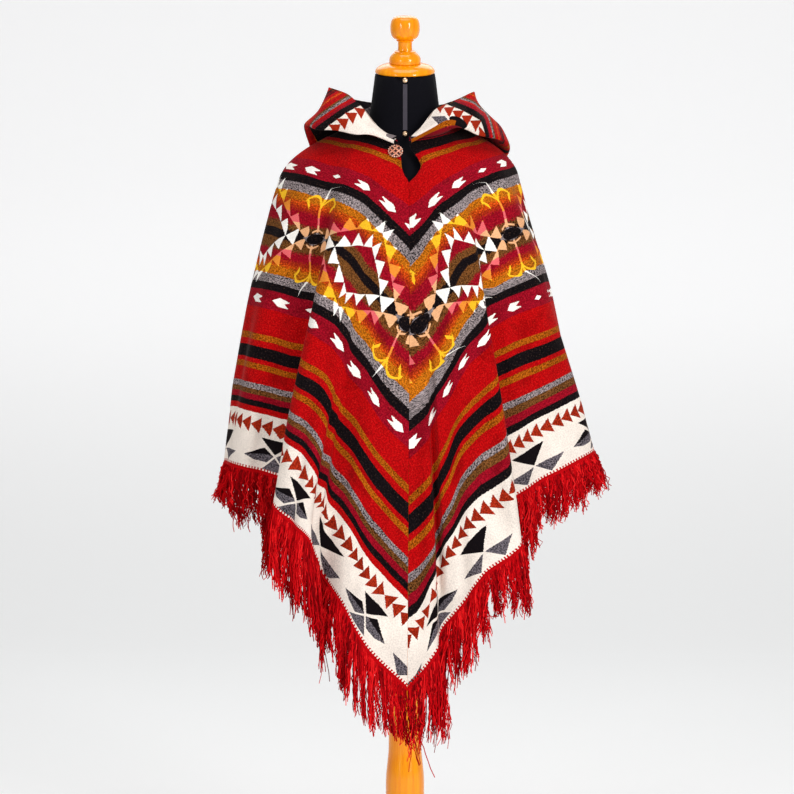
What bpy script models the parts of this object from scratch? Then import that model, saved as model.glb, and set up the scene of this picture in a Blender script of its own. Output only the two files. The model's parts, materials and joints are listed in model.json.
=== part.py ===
"""Andean hooded poncho hanging on a limbless dress form.

Metres, +Z up, the wearer's front toward -Y, the floor at Z = 0.
The poncho is two mitred panels, left and right in the front view, each one strip of banded
cloth running from the centre front seam over the side to the centre back seam. Each panel
hangs as straight fall lines from a yoke curve on the shoulders down to the hem curve, and
closes over the shoulder from the yoke up to the neck seam. One table row is one fall line,
set at a crest or a valley of the folds.
"""

import math

import bmesh
import bpy
import numpy as np
from mathutils import Vector

# ---- named sizes --------------------------------------------------------------------------
CLOTH = 0.0024            # wall of the panels and the hood
SEAM = 0.0003             # gap left between pieces at each seam
MIDDLE = (0.0085, 0.0096, 0.0)   # middle of the whole part's floor plan, in the form's own axes
PANEL_DEPTH = 0.700       # cloth from hem to neck seam, up a fall line at the side
YOKE = 0.558              # cloth from hem to the yoke curve
CAP_OUT, CAP_DOWN = 0.85, 0.42   # pull of the shoulder curve, outward and downward
BELLY = 0.010             # how far a fall line bows out halfway down
NECK_X, NECK_Y, NECK_Z, NECK_TILT = 0.088, 0.080, 1.388, 0.45

FRINGE_PITCH = 0.0215     # from one lock to the next along the hem
FRINGE_STRIP = 0.006      # height of the narrow backing strip
FRINGE_THICK = 0.0010
FRINGE_TWIST_GAP = 0.0016 # more gap over the strip where the hem twists at a fold
LOCK_LENGTH = 0.094
LOCK_SHARE = 0.52         # share of the pitch that a lock fills
LOCK_BEND = 0.45          # share of a lock above its bend
LOCK_TAPER = (0.85, 0.45) # width at the bend and at the tip
LOCK_OUT = 0.008          # how far the bend stands out from the cloth
LOCK_SWAY = 0.006

FORM_TOP = 1.486
CAP_SLANT = math.radians(17)
UP = np.array((0.0, 0.0, 1.0))

# ---- fall lines of the panels -------------------------------------------------------------
# place along the strip: 1 at the centre front seam, 0 at the side line, -1 at the centre back
# name, place, yoke x y z, hem x y z
LEFT_FOLDS = (
    ("centre_front", 1.0, 0.008, -0.130, 1.160, 0.0035, -0.165, 0.366),
    ("apron_1", 0.878, -0.012, -0.134, 1.181, -0.067, -0.176, 0.436),
    ("apron_2", 0.756, -0.0345, -0.135, 1.203, -0.112, -0.170, 0.517),
    ("pleat_valley", 0.646, -0.055, -0.133, 1.2235, -0.156, -0.130, 0.580),
    ("pleat_crest", 0.561, -0.0705, -0.129, 1.239, -0.170, -0.170, 0.628),
    ("apron_edge", 0.451, -0.097, -0.120, 1.253, -0.207, -0.165, 0.665),
    ("fold_crest", 0.390, -0.1115, -0.113, 1.2595, -0.235, -0.140, 0.693),
    ("fold_valley", 0.317, -0.1305, -0.100, 1.265, -0.198, -0.085, 0.729),
    ("side_rise", 0.256, -0.148, -0.088, 1.269, -0.243, -0.060, 0.742),
    ("side_front", 0.146, -0.178, -0.063, 1.280, -0.292, -0.050, 0.754),
    ("side_line", 0.0, -0.225, -0.010, 1.293, -0.340, 0.020, 0.765),
    ("side_back", -0.146, -0.205, 0.045, 1.285, -0.315, 0.085, 0.748),
    ("back_valley", -0.30, -0.165, 0.085, 1.270, -0.250, 0.100, 0.715),
    ("back_crest", -0.42, -0.135, 0.105, 1.260, -0.235, 0.165, 0.672),
    ("back_1", -0.60, -0.085, 0.122, 1.235, -0.165, 0.170, 0.591),
    ("back_2", -0.80, -0.040, 0.130, 1.205, -0.090, 0.190, 0.490),
    ("centre_back", -1.0, 0.000, 0.130, 1.170, 0.000, 0.185, 0.385),
)
RIGHT_FOLDS = (
    ("centre_front", 1.0, 0.008, -0.130, 1.160, 0.0035, -0.165, 0.366),
    ("apron_1", 0.915, 0.025, -0.133, 1.175, 0.043, -0.165, 0.411),
    ("pleat_valley", 0.817, 0.0415, -0.135, 1.195, 0.063, -0.150, 0.464),
    ("apron_2", 0.732, 0.0555, -0.133, 1.2127, 0.092, -0.165, 0.502),
    ("apron_3", 0.622, 0.078, -0.126, 1.2305, 0.138, -0.175, 0.566),
    ("fold_crest", 0.50, 0.1047, -0.113, 1.249, 0.2045, -0.155, 0.635),
    ("fold_valley", 0.445, 0.1155, -0.106, 1.257, 0.180, -0.115, 0.688),
    ("side_rise", 0.402, 0.1253, -0.100, 1.263, 0.221, -0.095, 0.717),
    ("side_front", 0.317, 0.146, -0.083, 1.272, 0.281, -0.075, 0.750),
    ("side_edge", 0.195, 0.180, -0.055, 1.2855, 0.351, -0.020, 0.784),
    ("side_line", 0.0, 0.209, 0.000, 1.300, 0.325, 0.090, 0.772),
    ("side_back", -0.15, 0.200, 0.050, 1.295, 0.300, 0.130, 0.752),
    ("back_valley", -0.30, 0.165, 0.085, 1.275, 0.235, 0.120, 0.722),
    ("back_crest", -0.43, 0.130, 0.105, 1.260, 0.225, 0.175, 0.672),
    ("back_1", -0.62, 0.080, 0.122, 1.235, 0.150, 0.175, 0.585),
    ("back_2", -0.82, 0.035, 0.130, 1.200, 0.085, 0.195, 0.485),
    ("centre_back", -1.0, 0.000, 0.130, 1.170, 0.000, 0.185, 0.385),
)
# the heights of the rings of cloth, measured up from the hem
RINGS = (0.0, 0.080, 0.160, 0.240, 0.320, 0.400, 0.480, 0.558, 0.592, 0.622,
         0.636, 0.648, 0.660, 0.673, 0.687, 0.700)
# the teardrop neck slit in the centre front seam: cloth height, left edge x, right edge x
SLIT = ((0.000, 0.000, 0.000), (0.636, 0.008, 0.008), (0.646, -0.002, 0.020),
        (0.658, -0.0065, 0.0295), (0.672, -0.0075, 0.0220), (0.686, -0.0085, 0.0090),
        (0.700, -0.0150, 0.0070))
SLIT_REACH = 0.20         # share of the front over which the slit edge fades out

# ---- hood, lying open round the neck and back ---------------------------------------------
# place: 0 at the centre front, 1 at the centre back
# name, place, fold x y z, belly x y z, rim x y z
HOOD_LEFT = (
    ("front", 0.00, -0.0200, -0.0945, 1.3450, -0.0205, -0.0965, 1.3495, -0.0170, -0.0880, 1.3520),
    ("lapel_1", 0.12, -0.0595, -0.0980, 1.3597, -0.0580, -0.0985, 1.3679, -0.0526, -0.0800, 1.3800),
    ("lapel_2", 0.25, -0.0920, -0.0980, 1.3615, -0.0905, -0.0930, 1.3866, -0.0846, -0.0580, 1.4197),
    ("wing_1", 0.36, -0.1267, -0.0860, 1.3702, -0.1234, -0.0750, 1.4034, -0.1065, -0.0300, 1.4418),
    ("peak", 0.46, -0.1622, -0.0600, 1.3707, -0.1540, -0.0350, 1.4160, -0.1417, 0.0100, 1.4608),
    ("wing_2", 0.55, -0.1843, -0.0050, 1.3747, -0.1710, 0.0200, 1.4103, -0.1255, 0.0500, 1.4554),
    ("shoulder", 0.66, -0.1760, 0.0680, 1.3400, -0.1740, 0.0900, 1.3950, -0.1058, 0.0970, 1.4523),
    ("pouch_1", 0.80, -0.1250, 0.1400, 1.2350, -0.1330, 0.1620, 1.3250, -0.0715, 0.1360, 1.4510),
    ("back", 1.00, 0.0000, 0.1660, 1.1500, 0.0000, 0.2000, 1.2900, 0.0000, 0.1500, 1.4460),
)
HOOD_RIGHT = (
    ("front", 0.00, 0.0108, -0.0945, 1.3467, 0.0110, -0.0965, 1.3510, 0.0095, -0.0880, 1.3546),
    ("lapel_1", 0.12, 0.0505, -0.0980, 1.3660, 0.0460, -0.0975, 1.3720, 0.0344, -0.0800, 1.3828),
    ("lapel_2", 0.25, 0.0885, -0.0950, 1.3791, 0.0779, -0.0850, 1.3984, 0.0605, -0.0620, 1.4125),
    ("wing_1", 0.36, 0.1141, -0.0850, 1.3713, 0.1054, -0.0720, 1.4038, 0.0830, -0.0380, 1.4252),
    ("wing_2", 0.46, 0.1400, -0.0680, 1.3624, 0.1297, -0.0500, 1.4103, 0.1089, -0.0080, 1.4421),
    ("peak", 0.52, 0.1722, -0.0400, 1.3594, 0.1500, -0.0100, 1.4107, 0.1276, 0.0150, 1.4524),
    ("wing_3", 0.60, 0.1915, 0.0000, 1.3485, 0.1770, 0.0300, 1.3975, 0.1068, 0.0500, 1.4479),
    ("shoulder", 0.72, 0.1750, 0.0820, 1.3150, 0.1720, 0.1050, 1.3850, 0.0869, 0.0980, 1.4448),
    ("pouch_1", 0.85, 0.1080, 0.1450, 1.2100, 0.1150, 0.1740, 1.3100, 0.0626, 0.1360, 1.4450),
    ("back", 1.00, 0.0000, 0.1660, 1.1500, 0.0000, 0.2000, 1.2900, 0.0000, 0.1500, 1.4460),
)
HOOD_RISE = 0.0034        # the hood's seam edge above the panels' neck edge
HOOD_LIP = 0.36           # share of the way to the fold at which the cloth turns over the seam
HOOD_UNDER = 0.62         # share of that way to the under layer's middle
HOOD_LIFT = 0.006         # how far the under layer stands off a straight line to the fold
HOOD_STEPS = (0, 0.6, 1.2, 2, 3, 4.2)   # seam, lip, under, fold, belly, rim along the cloth

# ---- dress form ---------------------------------------------------------------------------
# height, half width, half depth, middle y, squareness of the section
FORM_RINGS = (
    (0.790, 0.135, 0.095, 0.000, 2.2),
    (0.800, 0.148, 0.105, 0.000, 2.2),
    (0.880, 0.157, 0.112, 0.004, 2.2),
    (0.960, 0.138, 0.100, 0.000, 2.1),
    (1.030, 0.125, 0.090, -0.004, 2.1),
    (1.110, 0.138, 0.101, -0.006, 2.1),
    (1.180, 0.155, 0.116, -0.006, 2.1),
    (1.240, 0.166, 0.112, -0.002, 2.1),
    (1.290, 0.183, 0.098, 0.004, 2.1),
    (1.322, 0.1893, 0.083, 0.006, 2.0),
    (1.345, 0.1668, 0.069, 0.006, 2.0),
    (1.362, 0.1178, 0.063, 0.004, 2.0),
    (1.378, 0.0812, 0.060, 0.002, 2.0),
    (1.400, 0.0680, 0.058, 0.000, 2.0),
    (1.430, 0.0630, 0.058, 0.000, 2.0),
    (1.486, 0.0560, 0.055, 0.000, 2.0),
)
FORM_SIDES = 32
TURNED_SIDES = 24
SMALL_SIDES = 12
# turned wood, height and radius
NECK_CAP = ((0.0000, 0.0530), (0.0025, 0.0565), (0.0070, 0.0575), (0.0120, 0.0545),
            (0.0155, 0.0460), (0.0170, 0.0360))
FINIAL = ((0.0000, 0.0300), (0.0125, 0.0300), (0.0150, 0.0275), (0.0195, 0.0195),
          (0.0235, 0.0140), (0.0400, 0.0130), (0.0455, 0.0155), (0.0520, 0.0220),
          (0.0600, 0.0265), (0.0705, 0.0275), (0.0810, 0.0262), (0.0905, 0.0190),
          (0.0960, 0.0100), (0.0975, 0.0035))
POST = ((0.0265, 0.0480), (0.0340, 0.0490), (0.0420, 0.0430), (0.0600, 0.0375),
        (0.1200, 0.0355), (0.2050, 0.0355), (0.2250, 0.0340), (0.2600, 0.0305),
        (0.5000, 0.0290), (0.7897, 0.0290))
TACK = ((0.0000, 0.0046), (0.0012, 0.0050), (0.0026, 0.0040), (0.0034, 0.0020))
BUTTON = ((0.0000, 0.0120), (0.0008, 0.0135), (0.0030, 0.0140), (0.0045, 0.0125),
          (0.0040, 0.0105))
BASE = ((0.0000, 0.1720), (0.0020, 0.1790), (0.0100, 0.1800), (0.0180, 0.1780),
        (0.0230, 0.1700), (0.0262, 0.1500))


# ---- shape maths --------------------------------------------------------------------------
def smooth(knots, values, at):
    """A smooth curve through the values at the knots, which rise."""
    knots, values, at = (np.asarray(a, float) for a in (knots, values, at))
    step = np.diff(knots)
    rise = np.diff(values, axis=0) / step[:, None]
    slope = np.empty_like(values)
    slope[0], slope[-1] = rise[0], rise[-1]
    before, after = step[1:, None], step[:-1, None]
    slope[1:-1] = (rise[:-1] * before + rise[1:] * after) / (before + after)
    i = np.clip(np.searchsorted(knots, at) - 1, 0, len(knots) - 2)
    h, f = step[i][:, None], ((at - knots[i]) / step[i])[:, None]
    return ((2 * f**3 - 3 * f**2 + 1) * values[i] + (f**3 - 2 * f**2 + f) * h * slope[i]
            + (3 * f**2 - 2 * f**3) * values[i + 1] + (f**3 - f**2) * h * slope[i + 1])


def unit(v):
    return v / np.maximum(np.linalg.norm(v, axis=-1, keepdims=True), 1e-12)


def neck_ring(place, side):
    """The neck seam: place 1 at the centre front, -1 at the centre back."""
    turn = (1 - place) * math.pi / 2
    x = side * NECK_X * np.sin(turn) + 0.004 * np.clip(place, 0, 1)
    y = -NECK_Y * np.cos(turn)
    return np.column_stack([x, y, NECK_Z + NECK_TILT * y])


def open_slit(row, ring, places, side):
    """Moves the front end of a ring to the edge of the neck slit, fading out along the strip."""
    slit = np.asarray(SLIT)
    edge = np.interp(ring, slit[:, 0], slit[:, 1 if side < 0 else 2])
    fade = np.clip(1 - (1 - places) / SLIT_REACH, 0, 1) ** 1.5
    row[:, 0] += (edge - row[np.argmax(places), 0]) * fade


def panel_grid(folds, side, places, rings):
    """Points of the cloth's middle, one row a ring and one column a place."""
    ordered = folds[::-1]
    knots = [row[1] for row in ordered]
    yoke = smooth(knots, [row[2:5] for row in ordered], places)
    hem = smooth(knots, [row[5:8] for row in ordered], places)
    neck = neck_ring(places, side)
    pull = neck + (yoke - neck) * (CAP_OUT, CAP_OUT, CAP_DOWN)
    grid = []
    for ring in rings:
        if ring <= YOKE:
            f = ring / YOKE
            row = hem + (yoke - hem) * f
            row[:, :2] += unit(row[:, :2]) * 4 * f * (1 - f) * BELLY
        else:
            f = (ring - YOKE) / (PANEL_DEPTH - YOKE)
            row = (1 - f) ** 2 * yoke + 2 * f * (1 - f) * pull + f**2 * neck
        if ring >= SLIT[1][0]:
            open_slit(row, ring, places, side)
        grid.append(row)
    grid = np.array(grid)
    # the seam gap: the two end columns step back from the middle plane
    for end in (0, -1):
        grid[:, end, 0] += side * SEAM * 0.6
    return grid


def normals(grid):
    """Unit normals of a grid of points, by central differences, level across the end seams."""
    out = unit(np.cross(np.gradient(grid, axis=1), np.gradient(grid, axis=0)))
    out[:, (0, -1), 0] = 0
    return unit(out)


def even_places(folds, front, back):
    """Each interval of the table cut into equal steps, from centre back to centre front."""
    knots = [row[1] for row in folds[::-1]]
    places = []
    for a, b in zip(knots[:-1], knots[1:]):
        count = front if b > 0.1 else back
        places += list(np.linspace(a, b, count, endpoint=False))
    return np.array(places + [knots[-1]])


# ---- building -----------------------------------------------------------------------------
def mesh_object(name, points, faces, colour):
    mesh = bpy.data.meshes.new(name)
    points = np.asarray(points, float) - MIDDLE
    mesh.from_pydata(points.tolist(), [], [tuple(map(int, f)) for f in faces])
    shell = bmesh.new()
    shell.from_mesh(mesh)
    bmesh.ops.recalc_face_normals(shell, faces=shell.faces)
    shell.to_mesh(mesh)
    shell.free()
    return linked(name, mesh, colour)


def linked(name, mesh, colour):
    """An object of its own for the mesh, with its own material."""
    mesh.shade_smooth()
    mesh.set_sharp_from_angle(angle=math.radians(35))
    obj = bpy.data.objects.new(name, mesh)
    bpy.context.scene.collection.objects.link(obj)
    material = bpy.data.materials.new(name)
    material.use_nodes = True
    shader = material.node_tree.nodes["Principled BSDF"]
    shader.inputs["Base Color"].default_value = (*colour, 1)
    shader.inputs["Roughness"].default_value = 0.8
    mesh.materials.append(material)
    return obj


def wall(name, grid, thick, colour):
    """A closed wall of cloth round a grid of middle points."""
    rows, cols = grid.shape[:2]
    offset = normals(grid) * thick / 2
    outer, inner = (grid + offset).reshape(-1, 3), (grid - offset).reshape(-1, 3)
    at = np.arange(rows * cols).reshape(rows, cols)
    back = at + rows * cols
    faces = []
    for r in range(rows - 1):
        for c in range(cols - 1):
            faces.append((at[r, c], at[r, c + 1], at[r + 1, c + 1], at[r + 1, c]))
            faces.append((back[r + 1, c], back[r + 1, c + 1], back[r, c + 1], back[r, c]))
    rim = [*at[0, :-1], *at[:-1, -1], *at[-1, :0:-1], *at[:0:-1, 0]]
    for a, b in zip(rim, rim[1:] + rim[:1]):
        faces.append((b, a, a + rows * cols, b + rows * cols))
    return mesh_object(name, np.vstack([outer, inner]), faces, colour)


def rings_solid(name, rings, colour):
    """A closed solid through level rings of points, all of one count."""
    count = len(rings[0])
    faces = []
    for r in range(len(rings) - 1):
        for c in range(count):
            d = (c + 1) % count
            faces.append((r * count + c, r * count + d, (r + 1) * count + d, (r + 1) * count + c))
    faces.append(tuple(range(count))[::-1])
    faces.append(tuple(range((len(rings) - 1) * count, len(rings) * count)))
    return mesh_object(name, np.vstack(rings), faces, colour)


def turned(name, profile, colour, at=(0, 0, 0), turn=(0, 0, 0), sides=TURNED_SIDES):
    """A solid turned about its own Z by a Screw, from a table of height and radius."""
    low, high = profile[0][0], profile[-1][0]
    line = [(0, 0, high)] + [(r, 0, z) for z, r in profile[::-1]] + [(0, 0, low)]
    mesh = bpy.data.meshes.new(name)
    mesh.from_pydata(line, [(i, i + 1) for i in range(len(line) - 1)], [])
    obj = linked(name, mesh, colour)
    screw = obj.modifiers.new("turned", "SCREW")
    screw.steps = screw.render_steps = sides
    screw.use_merge_vertices = True
    screw.merge_threshold = 1e-5
    obj.location = Vector(at) - Vector(MIDDLE)
    obj.rotation_euler = turn
    return obj


def form_ring(z):
    """One level section of the dress form."""
    table = np.asarray(FORM_RINGS)
    width, depth, middle, power = smooth(table[:, 0], table[:, 1:], [z])[0]
    turn = np.arange(FORM_SIDES) * 2 * math.pi / FORM_SIDES
    c, s = np.cos(turn), np.sin(turn)
    x = width * np.sign(c) * np.abs(c) ** (2 / power)
    y = middle + depth * np.sign(s) * np.abs(s) ** (2 / power)
    return np.column_stack([x, y, np.full_like(x, z)])


def form_front(x, z):
    """The y of the dress form's front at a place across the neck."""
    table = np.asarray(FORM_RINGS)
    width, depth, middle, power = smooth(table[:, 0], table[:, 1:], [z])[0]
    return middle - depth * (1 - abs(x / width) ** power) ** (1 / power)


def hood_grid(table, side, stations, steps):
    """Rows run from the neck seam, under and round the fold, up to the rim."""
    keys = [row[1] for row in table]
    given = smooth(keys, [row[2:11] for row in table], stations)
    seam = neck_ring(1 - 2 * stations, side)
    open_slit(seam, PANEL_DEPTH, 1 - 2 * stations, side)
    seam[:, 2] += HOOD_RISE
    fold, belly, rim = given[:, 0:3], given[:, 3:6], given[:, 6:9]
    away = unit(fold * (1, 1, 0))
    reach = np.minimum(np.linalg.norm(fold - seam, axis=1), 0.050)[:, None]
    lip = seam + (away + 0.3 * UP) * HOOD_LIP * reach
    under = seam + (fold - seam) * HOOD_UNDER + away * HOOD_LIFT + 0.003 * UP
    control = np.stack([seam, lip, under, fold, belly, rim])
    flat = smooth(HOOD_STEPS, control.reshape(len(control), -1), steps)
    return flat.reshape(len(steps), len(stations), 3)


def fringe(name, grid, colour):
    """A narrow backing strip under the hem with square-cut locks hanging from it."""
    hem, above = grid[0], grid[1]
    along = np.concatenate([[0], np.cumsum(np.linalg.norm(np.diff(hem, axis=0), axis=1))])
    marks, locks = [0.0], []
    for start, stop in zip(along[:-1], along[1:]):
        count = max(1, round((stop - start) / FRINGE_PITCH))
        for k in range(count):
            for f in (0.5 - LOCK_SHARE / 2, 0.5 + LOCK_SHARE / 2):
                marks.append(start + (stop - start) * (k + f) / count)
            locks += [False, True]
        marks.append(stop)
        locks.append(False)
    marks = np.array(marks)

    def on(curve, at):
        return np.column_stack([np.interp(at, along, curve[:, k]) for k in range(3)])

    outward = normals(grid)[0]
    if (outward * (hem * (1, 1, 0))).sum() < 0:
        outward = -outward
    top = on(hem, marks)
    fall = unit(on(hem - above, marks))
    out = unit(on(outward, marks))
    half = FRINGE_THICK / 2
    # the gap over the strip is wider where the hem twists sharply at a fold
    turn = 1 - (outward[1:] * outward[:-1]).sum(axis=1)
    twist = np.maximum(np.append(turn, 0), np.insert(turn, 0, 0))
    clear = 1.3 * SEAM + FRINGE_TWIST_GAP * np.interp(marks, along, twist)
    points, faces = [], []
    # four points a mark: top outer, top inner, bottom outer, bottom inner
    for p, d, n, c in zip(top, fall, out, clear):
        a = p + d * c
        b = p + d * (c + FRINGE_STRIP)
        points += [a + n * half, a - n * half, b + n * half, b - n * half]
    last = len(top) - 1
    for k in range(last):
        i, j = 4 * k, 4 * (k + 1)
        faces.append((i, i + 2, j + 2, j))          # outer
        faces.append((i + 1, j + 1, j + 3, i + 3))  # inner
        faces.append((i, j, j + 1, i + 1))          # top
        if not locks[k]:
            faces.append((i + 2, i + 3, j + 3, j + 2))
            continue
        # a lock: two lengths that leave square to the hem and turn to hang
        base = [i + 2, i + 3, j + 3, j + 2]
        root = np.array([points[m] for m in base]).mean(axis=0)
        corner = np.array([points[m] for m in base]) - root
        along_hem = unit(top[k + 1] - top[k]) * LOCK_SWAY * math.sin(k * 1.7)
        length = LOCK_LENGTH * (0.92 + 0.10 * math.sin(k * 0.83 + 1.0))
        bend = root + length * LOCK_BEND * unit(fall[k] * 0.75 - UP * 0.45)
        bend += along_hem / 2 + out[k] * LOCK_OUT
        tip = bend - UP * length * (1 - LOCK_BEND) + along_hem
        previous = base
        for centre, size in zip((bend, tip), LOCK_TAPER):
            start = len(points)
            points += list(centre + corner * size)
            ring = list(range(start, start + 4))
            for m in range(4):
                n = (m + 1) % 4
                faces.append((previous[m], ring[m], ring[n], previous[n]))
            previous = ring
        faces.append(tuple(previous))
    faces.append((0, 1, 3, 2))
    e = 4 * last
    faces.append((e, e + 2, e + 3, e + 1))
    return mesh_object(name, points, faces, colour)


# ---- the pieces ---------------------------------------------------------------------------
for obj in list(bpy.data.objects):
    bpy.data.objects.remove(obj)

RED, BLACK, GREY = (0.48, 0.01, 0.02), (0.012, 0.011, 0.014), (0.25, 0.25, 0.27)
WOOD, BRASS, COPPER = (0.75, 0.30, 0.03), (0.75, 0.55, 0.25), (0.55, 0.28, 0.14)

panels = {}
for name, folds, side in (("left", LEFT_FOLDS, -1), ("right", RIGHT_FOLDS, 1)):
    grid = panel_grid(folds, side, even_places(folds, 3, 2), RINGS)
    panels[name] = grid
    wall("panel_" + name, grid, CLOTH, RED)
    fringe("fringe_" + name, grid, RED)

for name, table, side in (("left", HOOD_LEFT, -1), ("right", HOOD_RIGHT, 1)):
    stations = np.linspace(0, 1, 21)
    grid = hood_grid(table, side, stations, np.linspace(0, HOOD_STEPS[-1], 14))
    grid[:, -1, 0] += side * SEAM * 0.6
    wall("hood_" + name, grid, CLOTH, RED)

body = [form_ring(z) for z in (0.790, 0.800, 0.840, 0.880, 0.930, 0.980, 1.030, 1.080, 1.130,
                               1.180, 1.220, 1.255, 1.285, 1.307, 1.322, 1.334, 1.345, 1.354,
                               1.362, 1.370, 1.380, 1.395, 1.415, 1.450, 1.486)]
# the neck top is cut on a slant, lower at the front
slant = math.tan(CAP_SLANT)
for ring, share in ((body[-1], 1.0), (body[-2], 0.6)):
    ring[:, 2] += ring[:, 1] * slant * share
rings_solid("form_body", body, BLACK)

# the cap and the finial stand on the slanted neck top
axis = Vector((0, -math.sin(CAP_SLANT), math.cos(CAP_SLANT)))
neck_top = Vector((0, 0, FORM_TOP)) + axis * SEAM
turned("neck_cap", NECK_CAP, WOOD, neck_top, (CAP_SLANT, 0, 0))
turned("finial", FINIAL, WOOD, neck_top + axis * (NECK_CAP[-1][0] + SEAM), (CAP_SLANT, 0, 0))
turned("post", POST, WOOD)
turned("base", BASE, WOOD)

# the tape down the front of the neck, with a tack at each end
tape = np.array([[(x, form_front(x, z) - SEAM - 0.0005, z) for x in (-0.004, 0.0, 0.004)]
                 for z in np.linspace(1.3725, 1.4565, 9)])
wall("neck_tape", tape, 0.0008, GREY)
for name, z, drop in (("tack_upper", 1.4635, -0.0004), ("tack_lower", 1.3655, 0.0004)):
    out = form_front(0.0, z) - SEAM - drop
    turned(name, TACK, BRASS, (0, out, z), (math.pi / 2, 0, 0), SMALL_SIDES)

# the button on the left edge of the slit
near = panel_grid(LEFT_FOLDS, -1, np.array([0.80, 0.86, 0.92, 1.0]), (0.665, 0.676, 0.687))
spot = near[1, 1]
facing = normals(near)[1, 1]
facing = facing if facing[1] < 0 else -facing
aim = Vector(facing).to_track_quat("Z", "Y").to_euler()
turned("button", BUTTON, COPPER, spot + facing * (CLOTH / 2 + SEAM), aim, 2 * SMALL_SIDES)
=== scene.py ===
# %% [markdown]
# # An andean hooded poncho on its dress form
#
# The poncho is two mitred panels of banded, figured wool cloth, sewn together at the centre
# front and the centre back, with a hood of the same cloth lying open round the neck and a
# fringe of red yarn at the hem. It stands on a limbless dress form covered in black jersey.
#
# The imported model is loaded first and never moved. Every new piece is made in its own mesh,
# in metres, in the same frame, and stands for the plain solid of the same name.

# %% Load the frame and measure its box
import json
import math
from contextlib import contextmanager

import bpy
import numpy as np
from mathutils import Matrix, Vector

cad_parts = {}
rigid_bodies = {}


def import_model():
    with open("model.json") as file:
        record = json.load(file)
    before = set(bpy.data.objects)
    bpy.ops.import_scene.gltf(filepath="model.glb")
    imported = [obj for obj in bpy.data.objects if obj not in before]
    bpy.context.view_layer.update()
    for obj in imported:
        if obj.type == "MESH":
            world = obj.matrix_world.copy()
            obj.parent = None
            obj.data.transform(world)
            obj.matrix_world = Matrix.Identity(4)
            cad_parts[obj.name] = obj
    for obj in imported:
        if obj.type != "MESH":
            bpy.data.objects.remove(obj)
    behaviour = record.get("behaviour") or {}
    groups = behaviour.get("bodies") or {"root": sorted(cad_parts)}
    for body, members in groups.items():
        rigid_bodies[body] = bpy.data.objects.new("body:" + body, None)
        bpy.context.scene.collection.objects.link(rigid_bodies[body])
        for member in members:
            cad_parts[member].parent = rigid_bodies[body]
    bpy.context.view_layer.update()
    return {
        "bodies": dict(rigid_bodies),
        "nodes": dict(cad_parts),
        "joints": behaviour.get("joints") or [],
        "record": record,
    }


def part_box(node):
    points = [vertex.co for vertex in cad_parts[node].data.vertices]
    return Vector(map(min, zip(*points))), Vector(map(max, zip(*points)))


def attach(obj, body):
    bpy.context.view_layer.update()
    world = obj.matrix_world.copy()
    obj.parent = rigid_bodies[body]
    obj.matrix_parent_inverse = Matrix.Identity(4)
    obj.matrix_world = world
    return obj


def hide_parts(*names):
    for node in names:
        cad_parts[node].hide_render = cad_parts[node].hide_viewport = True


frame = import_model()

# %% [markdown]
# ## Camera
#
# The camera stands level, four metres in front, at about the height of the wearer's waist,
# with a long lens, so that the poncho keeps its proportions and its bands stay parallel.

# %% Camera
CAMERA_AT = (-0.0233, -4.0096, 0.886)
LENS, SENSOR = 98.0, 36.0


def placed(name, data):
    """A new object in the scene, which shows this data."""
    obj = bpy.data.objects.new(name, data)
    bpy.context.scene.collection.objects.link(obj)
    return obj


camera = placed("camera", bpy.data.cameras.new("camera"))
camera.data.lens, camera.data.sensor_width = LENS, SENSOR
camera.location, camera.rotation_euler = CAMERA_AT, (math.pi / 2, 0, 0)
bpy.context.scene.camera = camera
bpy.context.scene.view_settings.view_transform = "Standard"
print("the frame covers", round(SENSOR / LENS * -CAMERA_AT[1], 3), "m at the form")

# %% [markdown]
# ## A small language for materials
#
# Node trees are hard to read when they are wired one link at a time. `Wire` wraps one output
# socket, and the signs + - * / % < > on it add Math nodes, so that a stripe or a triangle is
# written as the sum that it is. `Finish` holds one material, and its `node` method adds any
# other node: first its settings, then the values or wires of its sockets.

# %% Wire and Finish
class Wire:
    """A number on its way through a material: sums on it become Math nodes."""

    def __init__(self, finish, socket):
        self.finish, self.socket = finish, socket

    def sum(self, operation, *values):
        return self.finish.node("Math", {"operation": operation}, dict(enumerate(values)))

    def __add__(self, other): return self.sum("ADD", self, other)
    def __radd__(self, other): return self.sum("ADD", other, self)
    def __sub__(self, other): return self.sum("SUBTRACT", self, other)
    def __rsub__(self, other): return self.sum("SUBTRACT", other, self)
    def __mul__(self, other): return self.sum("MULTIPLY", self, other)
    def __rmul__(self, other): return self.sum("MULTIPLY", other, self)
    def __truediv__(self, other): return self.sum("DIVIDE", self, other)
    def __mod__(self, other): return self.sum("FLOORED_MODULO", self, other)
    def __lt__(self, other): return self.sum("LESS_THAN", self, other)
    def __gt__(self, other): return self.sum("GREATER_THAN", self, other)
    def __abs__(self): return self.sum("ABSOLUTE", self)
    def __and__(self, other): return self.sum("MULTIPLY", self, other)
    def __or__(self, other): return self.sum("MAXIMUM", self, other)
    def __invert__(self): return 1 - self

    def least(self, other): return self.sum("MINIMUM", self, other)
    def most(self, other): return self.sum("MAXIMUM", self, other)
    def wave(self): return self.sum("SINE", self)

    def soft(self, low, high, bottom=0.0, top=1.0):
        """A smooth step from bottom to top as the number goes from low to high."""
        return self.finish.node("MapRange", {"interpolation_type": "SMOOTHSTEP"},
                                {0: self, 1: low, 2: high, 3: bottom, 4: top})


def dye(red, green, blue):
    """A screen colour in 0..255 as the linear colour that shaders use."""
    linear = [(c / 255) / 12.92 if c / 255 <= 0.04045 else ((c / 255 + 0.055) / 1.055) ** 2.4
              for c in (red, green, blue)]
    return (*linear, 1.0)


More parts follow.
